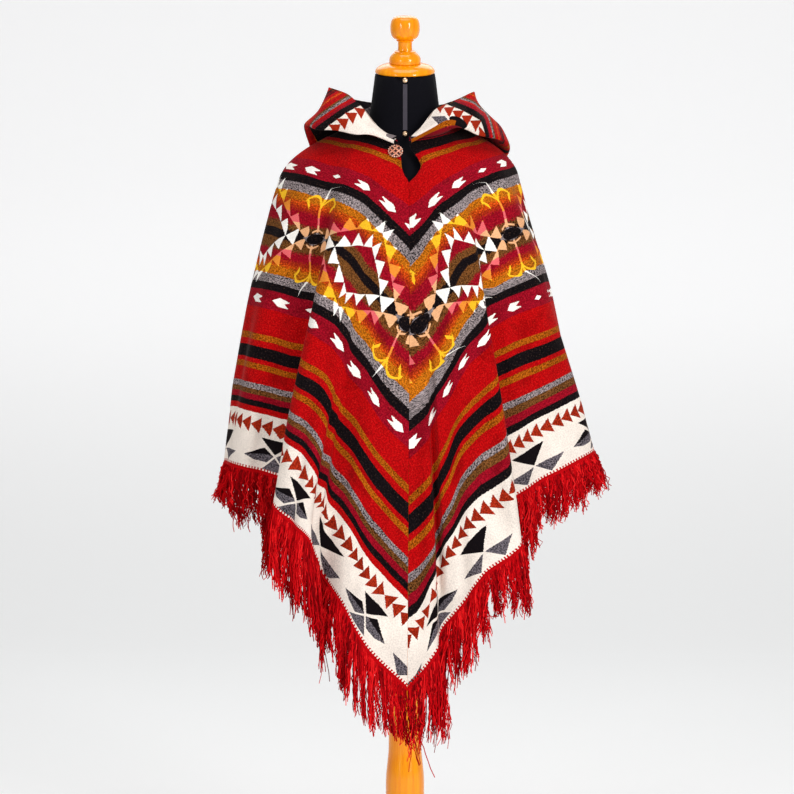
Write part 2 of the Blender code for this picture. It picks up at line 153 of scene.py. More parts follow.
class Finish:
    """One material while it is being made."""

    def __init__(self, name):
        self.material = bpy.data.materials.new(name)
        self.material.use_nodes = True
        self.tree = self.material.node_tree
        self.tree.nodes.clear()

    def node(self, kind, settings=None, sockets=None, out=0):
        """Any node: its settings are made first, then its sockets are filled or linked."""
        made = self.tree.nodes.new("ShaderNode" + kind)
        for key, value in (settings or {}).items():
            if key == "stops":
                self.set_stops(made.color_ramp, value)
            elif key == "interpolation":
                made.color_ramp.interpolation = value
            else:
                setattr(made, key, value)
        for key, value in (sockets or {}).items():
            if isinstance(value, Wire):
                self.tree.links.new(value.socket, made.inputs[key])
            else:
                made.inputs[key].default_value = value
        return Wire(self, made.outputs[out]) if out is not None else None

    @staticmethod
    def set_stops(ramp, stops):
        while len(ramp.elements) < len(stops):
            ramp.elements.new(1.0)
        for element, (place, colour) in zip(ramp.elements, stops):
            element.position, element.color = place, colour

    def blend(self, mask, under, over, kind="MIX"):
        """The colour over laid on the colour under where mask is 1."""
        return self.node("Mix", {"data_type": "RGBA", "blend_type": kind},
                         {0: mask, 6: under, 7: over}, out=2)

    def ramp(self, at, stops, **settings):
        """A row of colours, each at its place from 0 to 1."""
        return self.node("ValToRGB", {"stops": stops, **settings}, {"Fac": at})

    def object_place(self):
        return self.node("TexCoord", out="Object")

    def attribute(self, name, out="Fac"):
        """A value that the mesh keeps on its points."""
        return self.node("Attribute", {"attribute_name": name}, out=out)

    def axes(self, place):
        """The x, y and z of a place, each on a wire of its own."""
        parts = self.node("SeparateXYZ", {}, {0: place})
        return [Wire(self, output) for output in parts.socket.node.outputs]

    def stretched(self, place, x, y, z, turn=(0, 0, 0)):
        """The place with each axis multiplied, which stretches a texture the other way."""
        return self.node("Mapping", {}, {"Vector": place, "Scale": (x, y, z), "Rotation": turn})

    def noise(self, place, scale, detail=2.0, rough=0.5):
        return self.node("TexNoise", {}, {"Vector": place, "Scale": scale, "Detail": detail,
                                          "Roughness": rough})

    def done(self, colour, roughness, height=None, bump=0.3, depth=0.001, **constants):
        """The surface shader with its bump, wired to the output."""
        sockets = {"Base Color": colour, "Roughness": roughness}
        if height is not None:
            sockets["Normal"] = self.node("Bump", {}, {"Strength": bump, "Distance": depth,
                                                       "Height": height})
        for name, value in constants.items():
            sockets[name.replace("_", " ")] = value
        shader = self.node("BsdfPrincipled", {}, sockets)
        self.node("OutputMaterial", {}, {"Surface": shader}, out=None)
        print("finish", self.material.name, "has", len(self.tree.nodes), "nodes")
        return self.material


print("a screen red of 176 is", round(dye(176, 6, 10)[0], 3), "as linear light")

# %% [markdown]
# ## The studio
#
# A pale sweep of paper runs along the floor and curves up behind the object, so there is no
# corner to see. It could be a floor and a wall with a bevel between them. It is quicker as
# one plane, whose back edge is extruded in short steps round the bend and then straight up.
# The paper is a shade darker on the floor, which the lights reach more easily.

# %% Work on one object
def lone(obj):
    """The one selected and active object."""
    bpy.ops.object.select_all(action="DESELECT")
    obj.select_set(True)
    bpy.context.view_layer.objects.active = obj
    return obj


def fresh(name):
    """The primitive that was just added, under its own name."""
    obj = bpy.context.object
    obj.name = obj.data.name = name
    return obj


@contextmanager
def editing(obj, chosen=None):
    """Edit mode on one object, with all of it selected, or only the points that are chosen."""
    lone(obj)
    bpy.ops.object.mode_set(mode="EDIT")
    bpy.ops.mesh.select_all(action="DESELECT" if chosen else "SELECT")
    if chosen:
        bpy.ops.object.mode_set(mode="OBJECT")
        for point in obj.data.vertices:
            point.select = chosen(point.co)
        for edge in obj.data.edges:
            edge.select = all(obj.data.vertices[i].select for i in edge.vertices)
        bpy.ops.object.mode_set(mode="EDIT")
    yield
    bpy.ops.object.mode_set(mode="OBJECT")


# %% Floor and backdrop
SWEEP_WIDTH, SWEEP_FRONT, SWEEP_BACK, SWEEP_RADIUS, SWEEP_TOP = 16.0, -7.0, 4.6, 1.2, 7.0
SWEEP_STEPS = 12

bend_starts = SWEEP_BACK - SWEEP_RADIUS
bpy.ops.object.select_all(action="DESELECT")
bpy.ops.mesh.primitive_plane_add(size=1, location=(0, (SWEEP_FRONT + bend_starts) / 2, 0))
sweep = fresh("studio_sweep")
sweep.scale = (SWEEP_WIDTH, bend_starts - SWEEP_FRONT, 1)
bpy.ops.object.transform_apply(location=True, rotation=False, scale=True)
turns = [step / SWEEP_STEPS * math.pi / 2 for step in range(SWEEP_STEPS + 1)]
bend = [(SWEEP_RADIUS * math.sin(turn), SWEEP_RADIUS * (1 - math.cos(turn))) for turn in turns]
bend.append((SWEEP_RADIUS, SWEEP_TOP))
with editing(sweep, lambda place: place.y > 0):
    for (y, z), (next_y, next_z) in zip(bend, bend[1:]):
        bpy.ops.mesh.extrude_region_move(
            TRANSFORM_OT_translate={"value": (0, next_y - y, next_z - z)})
sweep.data.shade_smooth()
print("the sweep has", len(sweep.data.polygons), "faces and is", SWEEP_TOP, "m tall")

paper = Finish("studio_paper")
paper_height = paper.axes(paper.object_place())[2].soft(0.0, 1.6)
sweep.data.materials.append(paper.done(
    paper.blend(paper_height, dye(203, 204, 204), dye(229, 229, 230)), 0.9,
    Emission_Color=(1, 1, 1, 1), Emission_Strength=0.36))

# %% [markdown]
# ## Soft lights
#
# Wool looks best in broad, soft light, as from fabric boxes. Each box is an area light: a
# tall key at the right, a weaker fill at the left, one overhead and one high at the back,
# which brightens the paper. The two tall ones are what the varnish mirrors as bright strips.

# %% Soft lights
LIGHTS = (  # name, place, aimed at, width, height, watts
    ("key", (2.6, -3.7, 1.6), (0.0, 0.0, 1.05), 0.75, 2.2, 106.0),
    ("fill", (-2.5, -3.8, 1.4), (0.0, 0.0, 0.9), 0.5, 1.9, 42.0),
    ("top", (0.0, -0.8, 4.2), (0.0, 0.0, 1.0), 2.4, 2.0, 52.0),
    ("rear", (0.0, 2.2, 3.6), (0.0, 0.2, 1.0), 3.2, 1.6, 30.0),
)
GLOW = 0.27   # of the white world, which fills the shadows
for name, place, target, width, height, watts in LIGHTS:
    light = bpy.data.lights.new(name, "AREA")
    light.shape, light.size, light.size_y, light.energy = "RECTANGLE", width, height, watts
    lamp = placed("light_" + name, light)
    lamp.location = place
    lamp.rotation_euler = (Vector(target) - Vector(place)).to_track_quat("-Z", "Y").to_euler()
world = bpy.data.worlds.new("studio")
world.use_nodes = True
world.node_tree.nodes["Background"].inputs["Color"].default_value = (1, 1, 1, 1)
world.node_tree.nodes["Background"].inputs["Strength"].default_value = GLOW
bpy.context.scene.world = world
print("lights:", ", ".join(row[0] for row in LIGHTS))

# %% [markdown]
# ## The cut of the cloth
#
# Each panel hangs as straight fall lines from a yoke curve on the shoulders down to the hem.
# One row of the table is one fall line, at a crest or a valley of the folds: its place along
# the strip (1 at the centre front seam, 0 at the side, -1 at the centre back), its point on
# the yoke and its point on the hem. A smooth curve through the rows gives every column of
# the cloth between them, so the thin shell lies on the form of the plain solid.

# %% Named sizes and fall lines
CLOTH = 0.0024
SEAM = 0.0003
MIDDLE = (0.0085, 0.0096, 0.0)
PANEL_DEPTH, YOKE = 0.700, 0.558
CAP_OUT, CAP_DOWN = 0.85, 0.42
BELLY = 0.010
NECK_X, NECK_Y, NECK_Z, NECK_TILT = 0.088, 0.080, 1.388, 0.45
UP = np.array((0.0, 0.0, 1.0))

# name, place, yoke x y z, hem x y z; the panels meet on the first two of these fall lines
CENTRE_FRONT = ("centre_front", 1.0, 0.008, -0.130, 1.160, 0.0035, -0.165, 0.366)
CENTRE_BACK = ("centre_back", -1.0, 0.000, 0.130, 1.170, 0.000, 0.185, 0.385)
LEFT_FOLDS = (
    CENTRE_FRONT,
    ("apron_1", 0.878, -0.012, -0.134, 1.181, -0.067, -0.176, 0.436),
    ("apron_2", 0.756, -0.0345, -0.135, 1.203, -0.112, -0.170, 0.517),
    ("pleat_valley", 0.646, -0.055, -0.133, 1.2235, -0.156, -0.130, 0.580),
    ("pleat_crest", 0.561, -0.0705, -0.129, 1.239, -0.170, -0.170, 0.628),
    ("apron_edge", 0.451, -0.097, -0.120, 1.253, -0.207, -0.165, 0.665),
    ("fold_crest", 0.390, -0.1115, -0.113, 1.2595, -0.235, -0.140, 0.693),
    ("fold_valley", 0.317, -0.1305, -0.100, 1.265, -0.198, -0.085, 0.729),
    ("side_rise", 0.256, -0.148, -0.088, 1.269, -0.243, -0.060, 0.742),
    ("side_front", 0.146, -0.178, -0.063, 1.280, -0.292, -0.050, 0.754),
    ("side_line", 0.0, -0.225, -0.010, 1.293, -0.340, 0.020, 0.765),
    ("side_back", -0.146, -0.205, 0.045, 1.285, -0.315, 0.085, 0.748),
    ("back_valley", -0.30, -0.165, 0.085, 1.270, -0.250, 0.100, 0.715),
    ("back_crest", -0.42, -0.135, 0.105, 1.260, -0.235, 0.165, 0.672),
    ("back_1", -0.60, -0.085, 0.122, 1.235, -0.165, 0.170, 0.591),
    ("back_2", -0.80, -0.040, 0.130, 1.205, -0.090, 0.190, 0.490),
    CENTRE_BACK,
)
RIGHT_FOLDS = (
    CENTRE_FRONT,
    ("apron_1", 0.915, 0.025, -0.133, 1.175, 0.043, -0.165, 0.411),
    ("pleat_valley", 0.817, 0.0415, -0.135, 1.195, 0.063, -0.150, 0.464),
    ("apron_2", 0.732, 0.0555, -0.133, 1.2127, 0.092, -0.165, 0.502),
    ("apron_3", 0.622, 0.078, -0.126, 1.2305, 0.138, -0.175, 0.566),
    ("fold_crest", 0.50, 0.1047, -0.113, 1.249, 0.2045, -0.155, 0.635),
    ("fold_valley", 0.445, 0.1155, -0.106, 1.257, 0.180, -0.115, 0.688),
    ("side_rise", 0.402, 0.1253, -0.100, 1.263, 0.221, -0.095, 0.717),
    ("side_front", 0.317, 0.146, -0.083, 1.272, 0.281, -0.075, 0.750),
    ("side_edge", 0.195, 0.180, -0.055, 1.2855, 0.351, -0.020, 0.784),
    ("side_line", 0.0, 0.209, 0.000, 1.300, 0.325, 0.090, 0.772),
    ("side_back", -0.15, 0.200, 0.050, 1.295, 0.300, 0.130, 0.752),
    ("back_valley", -0.30, 0.165, 0.085, 1.275, 0.235, 0.120, 0.722),
    ("back_crest", -0.43, 0.130, 0.105, 1.260, 0.225, 0.175, 0.672),
    ("back_1", -0.62, 0.080, 0.122, 1.235, 0.150, 0.175, 0.585),
    ("back_2", -0.82, 0.035, 0.130, 1.200, 0.085, 0.195, 0.485),
    CENTRE_BACK,
)
# the teardrop neck slit: cloth height, left edge x, right edge x
SLIT = ((0.000, 0.000, 0.000), (0.636, 0.008, 0.008), (0.646, -0.002, 0.020),
        (0.658, -0.0065, 0.0295), (0.672, -0.0075, 0.0220), (0.686, -0.0085, 0.0090),
        (0.700, -0.0150, 0.0070))
SLIT_REACH = 0.20
SEAM_NUDGE = 0.6 * SEAM   # how far each panel keeps from the middle, so that they never touch
print(len(LEFT_FOLDS), "fall lines at the left and", len(RIGHT_FOLDS), "at the right")


# %% The same curves as the plain solid, on a finer grid
def smooth(knots, values, at):
    """A smooth curve through the values at the knots, which rise."""
    knots, values, at = (np.asarray(a, float) for a in (knots, values, at))
    step = np.diff(knots)
    rise = np.diff(values, axis=0) / step[:, None]
    slope = np.empty_like(values)
    slope[0], slope[-1] = rise[0], rise[-1]
    before, after = step[1:, None], step[:-1, None]
    slope[1:-1] = (rise[:-1] * before + rise[1:] * after) / (before + after)
    i = np.clip(np.searchsorted(knots, at) - 1, 0, len(knots) - 2)
    h, f = step[i][:, None], ((at - knots[i]) / step[i])[:, None]
    return ((2 * f**3 - 3 * f**2 + 1) * values[i] + (f**3 - 2 * f**2 + f) * h * slope[i]
            + (3 * f**2 - 2 * f**3) * values[i + 1] + (f**3 - f**2) * h * slope[i + 1])


def ease(share):
    """A share from 0 to 1 that starts and stops softly."""
    share = np.clip(share, 0, 1)
    return share * share * (3 - 2 * share)


def unit(v):
    """Each vector at a length of one."""
    return v / np.maximum(np.linalg.norm(v, axis=-1, keepdims=True), 1e-12)


def neck_ring(place, side):
    """The neck seam: place 1 at the centre front, -1 at the centre back."""
    turn = (1 - place) * math.pi / 2
    x = side * NECK_X * np.sin(turn) + 0.004 * np.clip(place, 0, 1)
    y = -NECK_Y * np.cos(turn)
    return np.column_stack([x, y, NECK_Z + NECK_TILT * y])


def open_slit(row, ring, places, side):
    """Moves the front end of a ring to the edge of the neck slit."""
    slit = np.asarray(SLIT)
    edge = np.interp(ring, slit[:, 0], slit[:, 1 if side < 0 else 2])
    fade = np.clip(1 - (1 - places) / SLIT_REACH, 0, 1) ** 1.5
    row[:, 0] += (edge - row[np.argmax(places), 0]) * fade


def panel_grid(folds, side, places, rings):
    """Points of the cloth's middle, one row a ring and one column a place."""
    ordered = folds[::-1]
    knots = [row[1] for row in ordered]
    yoke = smooth(knots, [row[2:5] for row in ordered], places)
    hem = smooth(knots, [row[5:8] for row in ordered], places)
    neck = neck_ring(places, side)
    pull = neck + (yoke - neck) * (CAP_OUT, CAP_OUT, CAP_DOWN)
    grid = []
    for ring in rings:
        if ring <= YOKE:
            f = ring / YOKE
            row = hem + (yoke - hem) * f
            row[:, :2] += unit(row[:, :2]) * 4 * f * (1 - f) * BELLY
        else:
            f = (ring - YOKE) / (PANEL_DEPTH - YOKE)
            row = (1 - f) ** 2 * yoke + 2 * f * (1 - f) * pull + f**2 * neck
        if ring >= SLIT[1][0]:
            open_slit(row, ring, places, side)
        grid.append(row)
    grid = np.array(grid)
    for end in (0, -1):
        grid[:, end, 0] += side * SEAM_NUDGE
    return grid


def outward(grid):
    """Unit normals of a grid of points, turned to face away from the body."""
    out = unit(np.cross(np.gradient(grid, axis=1), np.gradient(grid, axis=0)))
    if (out * grid * (1, 1, 0)).sum() < 0:
        out = -out
    out[:, (0, -1), 0] = 0
    return unit(out)


def run_along(grid):
    """Length along each row of a grid, from its first column."""
    steps = np.linalg.norm(np.diff(grid, axis=1), axis=2)
    return np.concatenate([np.zeros((len(grid), 1)), np.cumsum(steps, axis=1)], axis=1)


half_neck = run_along(neck_ring(np.linspace(1, -1, 200), 1)[None])[0, -1]
print("the neck seam is", round(2 * half_neck, 3), "m round")

# %% [markdown]
# ## Where the weave lies on the cloth
#
# The pattern was woven on a flat strip, so it is laid out in two numbers that belong to the
# cloth: how far along the strip (metres, largest at the front seam, where both panels are
# cut on the same slant) and how far above the hem. They are kept on every point as an
# attribute, and the material reads them. Cloth tucked away behind a fold uses up length
# without showing it, and hand tension lets the bands drift a little, so both are tables.

# %% Tables of the drape
FRONT_CUT, BACK_CUT, BACK_SLANT = 0.82, 0.72, 0.8
# cloth hidden behind a fold: place where it starts, place where it ends, height where it
# has run out, length hidden at the hem
TUCKED = {
    "left": ((0.390, 0.317, 0.42, 0.110), (0.756, 0.561, 0.30, 0.035)),
    "right": ((0.500, 0.445, 0.42, 0.056),),
}
# how far a band sits above its woven height, in mm: distance from the front seam, then
# pairs of cloth height and drift
RIGHT_SIDE_DRIFT = ((0.0, 5.0), (0.11, 5.0), (0.165, 10.5), (0.19, 12.5), (0.23, 15.0),
                    (0.25, 13.0), (0.36, 10.0), (0.54, 4.0), (0.57, 8.0), (0.605, 12.0),
                    (0.648, -7.0), (0.665, -16.0))
DRIFT = {
    "left": ((0.000, ((0.0, 0.0), (0.7, 0.0))),
             (0.070, ((0.0, 5.5), (0.17, 5.5), (0.25, 4.0), (0.35, 1.0), (0.45, 0.0))),
             (0.220, ((0.0, 0.5), (0.105, 0.5), (0.155, 0.5), (0.235, 1.0), (0.33, 9.0),
                      (0.36, 11.0), (0.54, 0.0), (0.62, 0.0), (0.648, -8.0),
                      (0.665, -17.0)))),
    "right": ((0.020, ((0.0, -21.0), (0.11, -21.0), (0.15, -18.0), (0.21, -13.0),
                       (0.30, -16.0), (0.345, -16.0), (0.36, -13.0), (0.43, -5.0),
                       (0.53, 0.0))),
              (0.070, ((0.0, 3.0), (0.10, 3.0), (0.14, -17.0), (0.36, -17.0), (0.53, 0.0))),
              (0.220, RIGHT_SIDE_DRIFT),
              (0.310, RIGHT_SIDE_DRIFT),
              (0.420, ((0.0, 4.0), (0.11, 3.5), (0.165, 1.5), (0.19, 3.5), (0.23, 6.0),
                       (0.25, 5.0), (0.33, 7.0), (0.36, 10.0), *RIGHT_SIDE_DRIFT[7:]))),
}
# bands that rise over a ridge (-) or dip into a pleat (+), in mm: where the dip crosses the
# two heights below, its half width, and its size at those two heights
DIP_HIGH, DIP_LOW = 250, 110
DIPS = {
    "left": ((300, 322, 45, -6.0, -7.0), (340, 395, 28, 7.0, 9.0)),
    "right": ((425, 530, 42, -11.0, -9.0), (482, 622, 30, 9.0, 8.0), (560, 682, 34, 0.0, 9.0)),
}
# how the hanging cloth carries its figures along (SWAY) and up (LIFT), in mm: one row for
# each height, with a number for each place along the strip. The loom's straight columns
# lean with the folds.
STRIP_PLACES = {
    "left": (0, 48, 105, 168, 230, 290, 318, 345, 380, 437, 507, 566, 672),
    "right": (35, 60, 95, 156, 175, 211, 240, 265, 300, 335, 352, 400, 505, 680),
}
SWAY = {
    "left": {
        45: (-2, -2, -2, 0, 0, 4, 6, 11, 12, 60, 35, 2, 8),
        90: (-10, -11, -14, 0, 0, 12, 14, 12, 9, 43, 15, -2, 6),
        318: (-9, -7, -3, -10, -26, -28, -27, -26, -28, -29, -30, -30, -30),
        375: (-24, -20, -17, -14, -10, -10, -14, -21, -27, -39, -40, -40, -40),
        450: (-1, -0.5, 4, 0.5, 2, 4, 2, -5, -4, -20, -40, -40, -40),
        525: (30, 31, 32, 23, 14, 5, 0, -10, -20, -30, -30, -30, -30),
        556: (33, 34, 36, 25, 15, 5, 0, 0, 0, 0, 0, 0, 0),
        566: (-10, -8, -4, 0, 0, 0, 0, 0, 0, 0, 0, 0, 0)},
    "right": {
        45: (-3, -3, -4, -5, -7, -9, -10, -11, -10, -10, -9, -9, -9, -6),
        90: (-3, -4, -5, -8, -10, -13, -15, -15, -11, -10, -10, -10, -10, -6),
        318: (15, 20, 25, 40, 43, 45, 42, 40, 38, 41, 43, 52, 61, 61),
        375: (15, 5, 0, 0, 0, -4, -5, 2, 4, -1.5, -3.5, -10, -15, -15),
        450: (35, 27, 13.5, 12.5, 17, 20, 24, 28, 26, 9, 2, -8, -12, -12),
        525: (35, 35, 36, 37, 37, 34, 33, 33, 30, 18, 10, -2, -2, -2),
        556: (38, 38, 40, 40, 38, 35, 33, 33, 30, 18, 10, 0, 0, 0),
        566: (5, 5, 6, 8, 10, 14, 17, 17, 17, 17, 17, 17, 17, 17)},
}
# the columns lean alike from the crimson stripe to the black one
SWAY["left"][338], SWAY["right"][340] = SWAY["left"][318], SWAY["right"][318]
LIFT = {
    "left": {
        270: (0,) * 13,
        318: (5,) * 13,
        360: (8, 8, 8, 6, 4, 4, 3, 3, 2, 2, 2, 2, 2),
        450: (4, 9, 1, -5, 2, -1, 0, 0, 0, 0, 0, 0, 0),
        525: (0,) * 13},
    "right": {
        280: (0,) * 14,
        318: (3, 3, 3, 5, 6, 7, 0, -6, -9, -10, -8, -1, 0, 0),
        345: (0, 0, 0, 0, 0, -3, -6, -6, -5, -2, 4, 6, 0, 0),
        380: (0, 0, 0, 6, 8, -12, -16, -10, -6, 2, 3, -3, 0, 0),
        450: (0, 3, 4, 14, 2, -11, -4, 5, 3, 3, 4, 4, 4, 4),
        525: (0, 0, 0, 0, 0, 0, 0, 4, 6, 6, 6, 6, 6, 6),
        580: (0,) * 14},
}
for which in ("left", "right"):
    print("figures are carried along by up to", max(map(max, SWAY[which].values())),
          "mm at the", which)


# %% Lay the strip on a panel
def along_strip(grid, places, rings, which):
    """How far along the woven strip each point of a panel is."""
    arc = run_along(grid)
    from_front = arc[:, -1:] - arc
    rings = np.asarray(rings)[:, None]
    for start, end, runs_out, hidden in TUCKED[which]:
        share = ease((start - places) / (start - end))
        from_front = from_front + share * hidden * np.clip(1 - rings / runs_out, 0, 1)
    along = FRONT_CUT - rings - from_front
    side = int(np.argmin(np.abs(places)))
    at_side, at_back = along[:, side:side + 1], -(BACK_CUT - BACK_SLANT * rings)
    share = (arc[:, side:side + 1] - arc) / arc[:, side:side + 1]
    return np.where(places < places[side], at_side + (at_back - at_side) * share, along)


def from_table(rows, which, along, above):
    """A value for each point between the places and heights of a table, both in mm."""
    heights, values = np.array(sorted(rows), float), np.array([rows[h] for h in sorted(rows)])
    marks = np.array(STRIP_PLACES[which], float)

    def between(knots, at):
        i = np.clip(np.searchsorted(knots, at) - 1, 0, len(knots) - 2)
        return i, np.clip((at - knots[i]) / (knots[i + 1] - knots[i]), 0, 1)

    i, f = between(marks, along)
    j, g = between(heights, above)
    g = ease(g)
    low = values[j, i] * (1 - f) + values[j, i + 1] * f
    high = values[j + 1, i] * (1 - f) + values[j + 1, i + 1] * f
    return low * (1 - g) + high * g


def figures_hang(along, above, which):
    """Shifts of the woven place, in metres, where folds carry the figures with them."""
    p, v = along * 1000, above * 1000
    shift = from_table(SWAY[which], which, p, v)
    rise = from_table(LIFT[which], which, p, v)
    for p_high, p_low, width, mm_high, mm_low in DIPS[which]:
        share = np.clip((v - DIP_LOW) / (DIP_HIGH - DIP_LOW), -0.6, 1.4)
        line, mm = p_low + (p_high - p_low) * share, mm_low + (mm_high - mm_low) * share
        fade = np.clip((300 - v) / 60, 0, 1) * np.clip((v - 30) / 60, 0, 1)
        rise = rise + mm * fade * np.exp(-((p - line) / width) ** 2)
    return shift / 1000, rise / 1000


def band_drift(grid, rings, which):
    """Metres by which a band sits above its woven height."""
    arc = run_along(grid)
    distance = arc[:, -1:] - arc
    table = DRIFT[which]
    columns = [np.interp(rings, *zip(*pairs)) for _, pairs in table]
    marks = [row[0] for row in table]
    drift = np.array([np.interp(d, marks, values) for d, values in zip(distance, zip(*columns))])
    return drift / 1000


# %% [markdown]
# ## Creases
#
# Heavy wool doesn't crumple: it hangs in long soft ridges that start at the shoulders and
# fade before the hem, or rise from the hem and fade on the way up. No two are alike, so each
# is a row of a table: where it starts and ends, how wide it is and how deep.

# %% Tables of creases
# place at the low end, place at the high end, low ring, high ring, half width, depth (mm)
CREASES = {
    "left": (
        (0.930, 0.960, 0.02, 0.34, 0.020, -4.0), (0.835, 0.880, 0.00, 0.30, 0.022, 3.5),
        (0.700, 0.800, 0.10, 0.56, 0.026, -3.5), (0.575, 0.610, 0.02, 0.34, 0.011, -5.0),
        (0.640, 0.700, 0.00, 0.22, 0.014, 3.0), (0.600, 0.640, 0.05, 0.62, 0.020, 3.0),
        (0.500, 0.560, 0.22, 0.66, 0.024, -4.5), (0.462, 0.470, 0.00, 0.24, 0.013, -4.0),
        (0.425, 0.440, 0.06, 0.58, 0.014, 3.0), (0.350, 0.360, 0.00, 0.40, 0.012, -5.0),
        (0.285, 0.300, 0.05, 0.66, 0.020, -4.0), (0.200, 0.180, 0.00, 0.50, 0.022, -5.0),
        (0.095, 0.120, 0.16, 0.68, 0.026, 4.0), (0.020, 0.040, 0.00, 0.36, 0.022, -5.0),
        (-0.070, -0.030, 0.10, 0.66, 0.028, 4.0), (-0.190, -0.140, 0.00, 0.44, 0.024, -6.0),
        (-0.270, -0.300, 0.20, 0.66, 0.022, -4.0), (-0.365, -0.340, 0.00, 0.52, 0.022, -5.0),
        (-0.500, -0.440, 0.05, 0.64, 0.030, -5.0), (-0.660, -0.600, 0.00, 0.36, 0.026, 4.5),
        (-0.740, -0.700, 0.14, 0.60, 0.024, -4.0), (-0.900, -0.860, 0.00, 0.42, 0.024, -5.0)),
    "right": (
        (0.955, 0.970, 0.04, 0.40, 0.016, -3.5), (0.875, 0.900, 0.00, 0.26, 0.016, 3.0),
        (0.812, 0.865, 0.03, 0.42, 0.012, -6.0), (0.780, 0.820, 0.10, 0.46, 0.012, 4.0),
        (0.690, 0.760, 0.00, 0.34, 0.020, -3.5), (0.645, 0.700, 0.26, 0.64, 0.026, 3.5),
        (0.570, 0.600, 0.04, 0.56, 0.022, -4.0), (0.530, 0.545, 0.00, 0.30, 0.013, 3.0),
        (0.470, 0.480, 0.00, 0.44, 0.012, -5.0), (0.425, 0.420, 0.14, 0.66, 0.018, -3.5),
        (0.360, 0.340, 0.00, 0.48, 0.022, -4.0), (0.270, 0.250, 0.20, 0.68, 0.028, 4.0),
        (0.160, 0.140, 0.00, 0.40, 0.024, -5.0), (0.090, 0.100, 0.12, 0.66, 0.026, -4.0),
        (-0.040, -0.020, 0.00, 0.48, 0.028, 4.5), (-0.170, -0.120, 0.08, 0.62, 0.024, -6.0),
        (-0.260, -0.280, 0.00, 0.36, 0.020, -4.0), (-0.365, -0.340, 0.10, 0.60, 0.024, 5.0),
        (-0.520, -0.460, 0.00, 0.56, 0.028, -5.0), (-0.680, -0.640, 0.06, 0.46, 0.026, -4.5),
        (-0.770, -0.720, 0.22, 0.64, 0.024, 4.0), (-0.890, -0.870, 0.00, 0.38, 0.022, -4.5)),
}
FULLNESS = 1.7   # one number that deepens or calms every crease
PUCKER, PUCKER_PITCH, PUCKER_REACH = 0.0014, 0.021, 0.012   # at the sewn centre seams
for which in ("left", "right"):
    print(len(CREASES[which]), "creases on the", which, "panel")


# %% Press the creases in
def crease_depth(grid, places, rings, which):
    """How far each point stands out of the smooth form, in metres."""
    arc = run_along(grid)
    rings = np.asarray(rings)
    depth = np.zeros(arc.shape)
    for low_place, high_place, low, high, width, mm in CREASES[which]:
        share = np.clip((rings - low) / (high - low), 0, 1)
        centre = low_place + (high_place - low_place) * share
        line = np.array([np.interp(c, places, row) for c, row in zip(centre, arc)])
        inside = np.clip((rings - low + 0.03) / 0.09, 0, 1) * np.clip((high - rings) / 0.16, 0, 1)
        fade = np.where(low <= 0.0, np.clip((high - rings) / 0.16, 0, 1), inside)
        ridge = np.exp(-((arc - line[:, None]) / width) ** 2)
        depth += FULLNESS * mm / 1000 * ease(fade)[:, None] * ridge
    # the sewn seams pull the cloth in by small uneven puckers
    for edge in (arc, arc[:, -1:] - arc):
        near = np.exp(-(edge / PUCKER_REACH) ** 2)
        beat = 0.7 + 0.3 * np.sin(rings * 2 * math.pi / PUCKER_PITCH + 2 * np.sin(rings * 23))
        depth -= PUCKER * near * beat[:, None]
    # and the cloth is never quite flat between the creases
    u, r = np.meshgrid(places, rings)
    depth += 0.0009 * np.sin(21 * u + 9 * r + 2.2 * np.sin(7 * r)) * np.sin(13 * r + 4 * u + 1)
    return depth * np.clip((PANEL_DEPTH - rings) / 0.04, 0, 1)[:, None]


# %% [markdown]
# ## Building a wall of cloth
#
# A sheet that only hung in the air would have no edge and no back. The middle grid is moved
# out and in by half the cloth's thickness, and a rim closes it, so that the hem and the neck
# slit show real cut edges. Each point carries the attribute `weave` (along, above, row) and
# the attribute `reverse`, which is 1 on the wrong side of the cloth.

# %% The wall of cloth
def declare(obj, slot, *nodes):
    """Sets a piece on the root body and hides the plain nodes it stands for; slot is not used."""
    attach(obj, "root")
    if nodes:
        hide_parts(*nodes)
    return obj


def piece(name, points, faces, finish, slot, *nodes, smooth_under=50):
    """A new piece at the origin, riding on the body, in the place of its plain nodes."""
    mesh = bpy.data.meshes.new(name)
    points = np.asarray(points, float) - MIDDLE
    mesh.from_pydata(points.tolist(), [], faces)
    mesh.validate()
    mesh.shade_smooth()
    mesh.set_sharp_from_angle(angle=math.radians(smooth_under))
    mesh.materials.append(finish)
    print(name, "has", sum(len(f) - 2 for f in faces), "triangles")
    return declare(placed(name, mesh), slot, *nodes)


def keep_attribute(obj, name, kind, values):
    """Values kept on the points of a mesh, for its material to read."""
    made = obj.data.attributes.new(name, kind, "POINT")
    made.data.foreach_set("vector" if kind == "FLOAT_VECTOR" else "value",
                          np.asarray(values, np.float32).ravel())


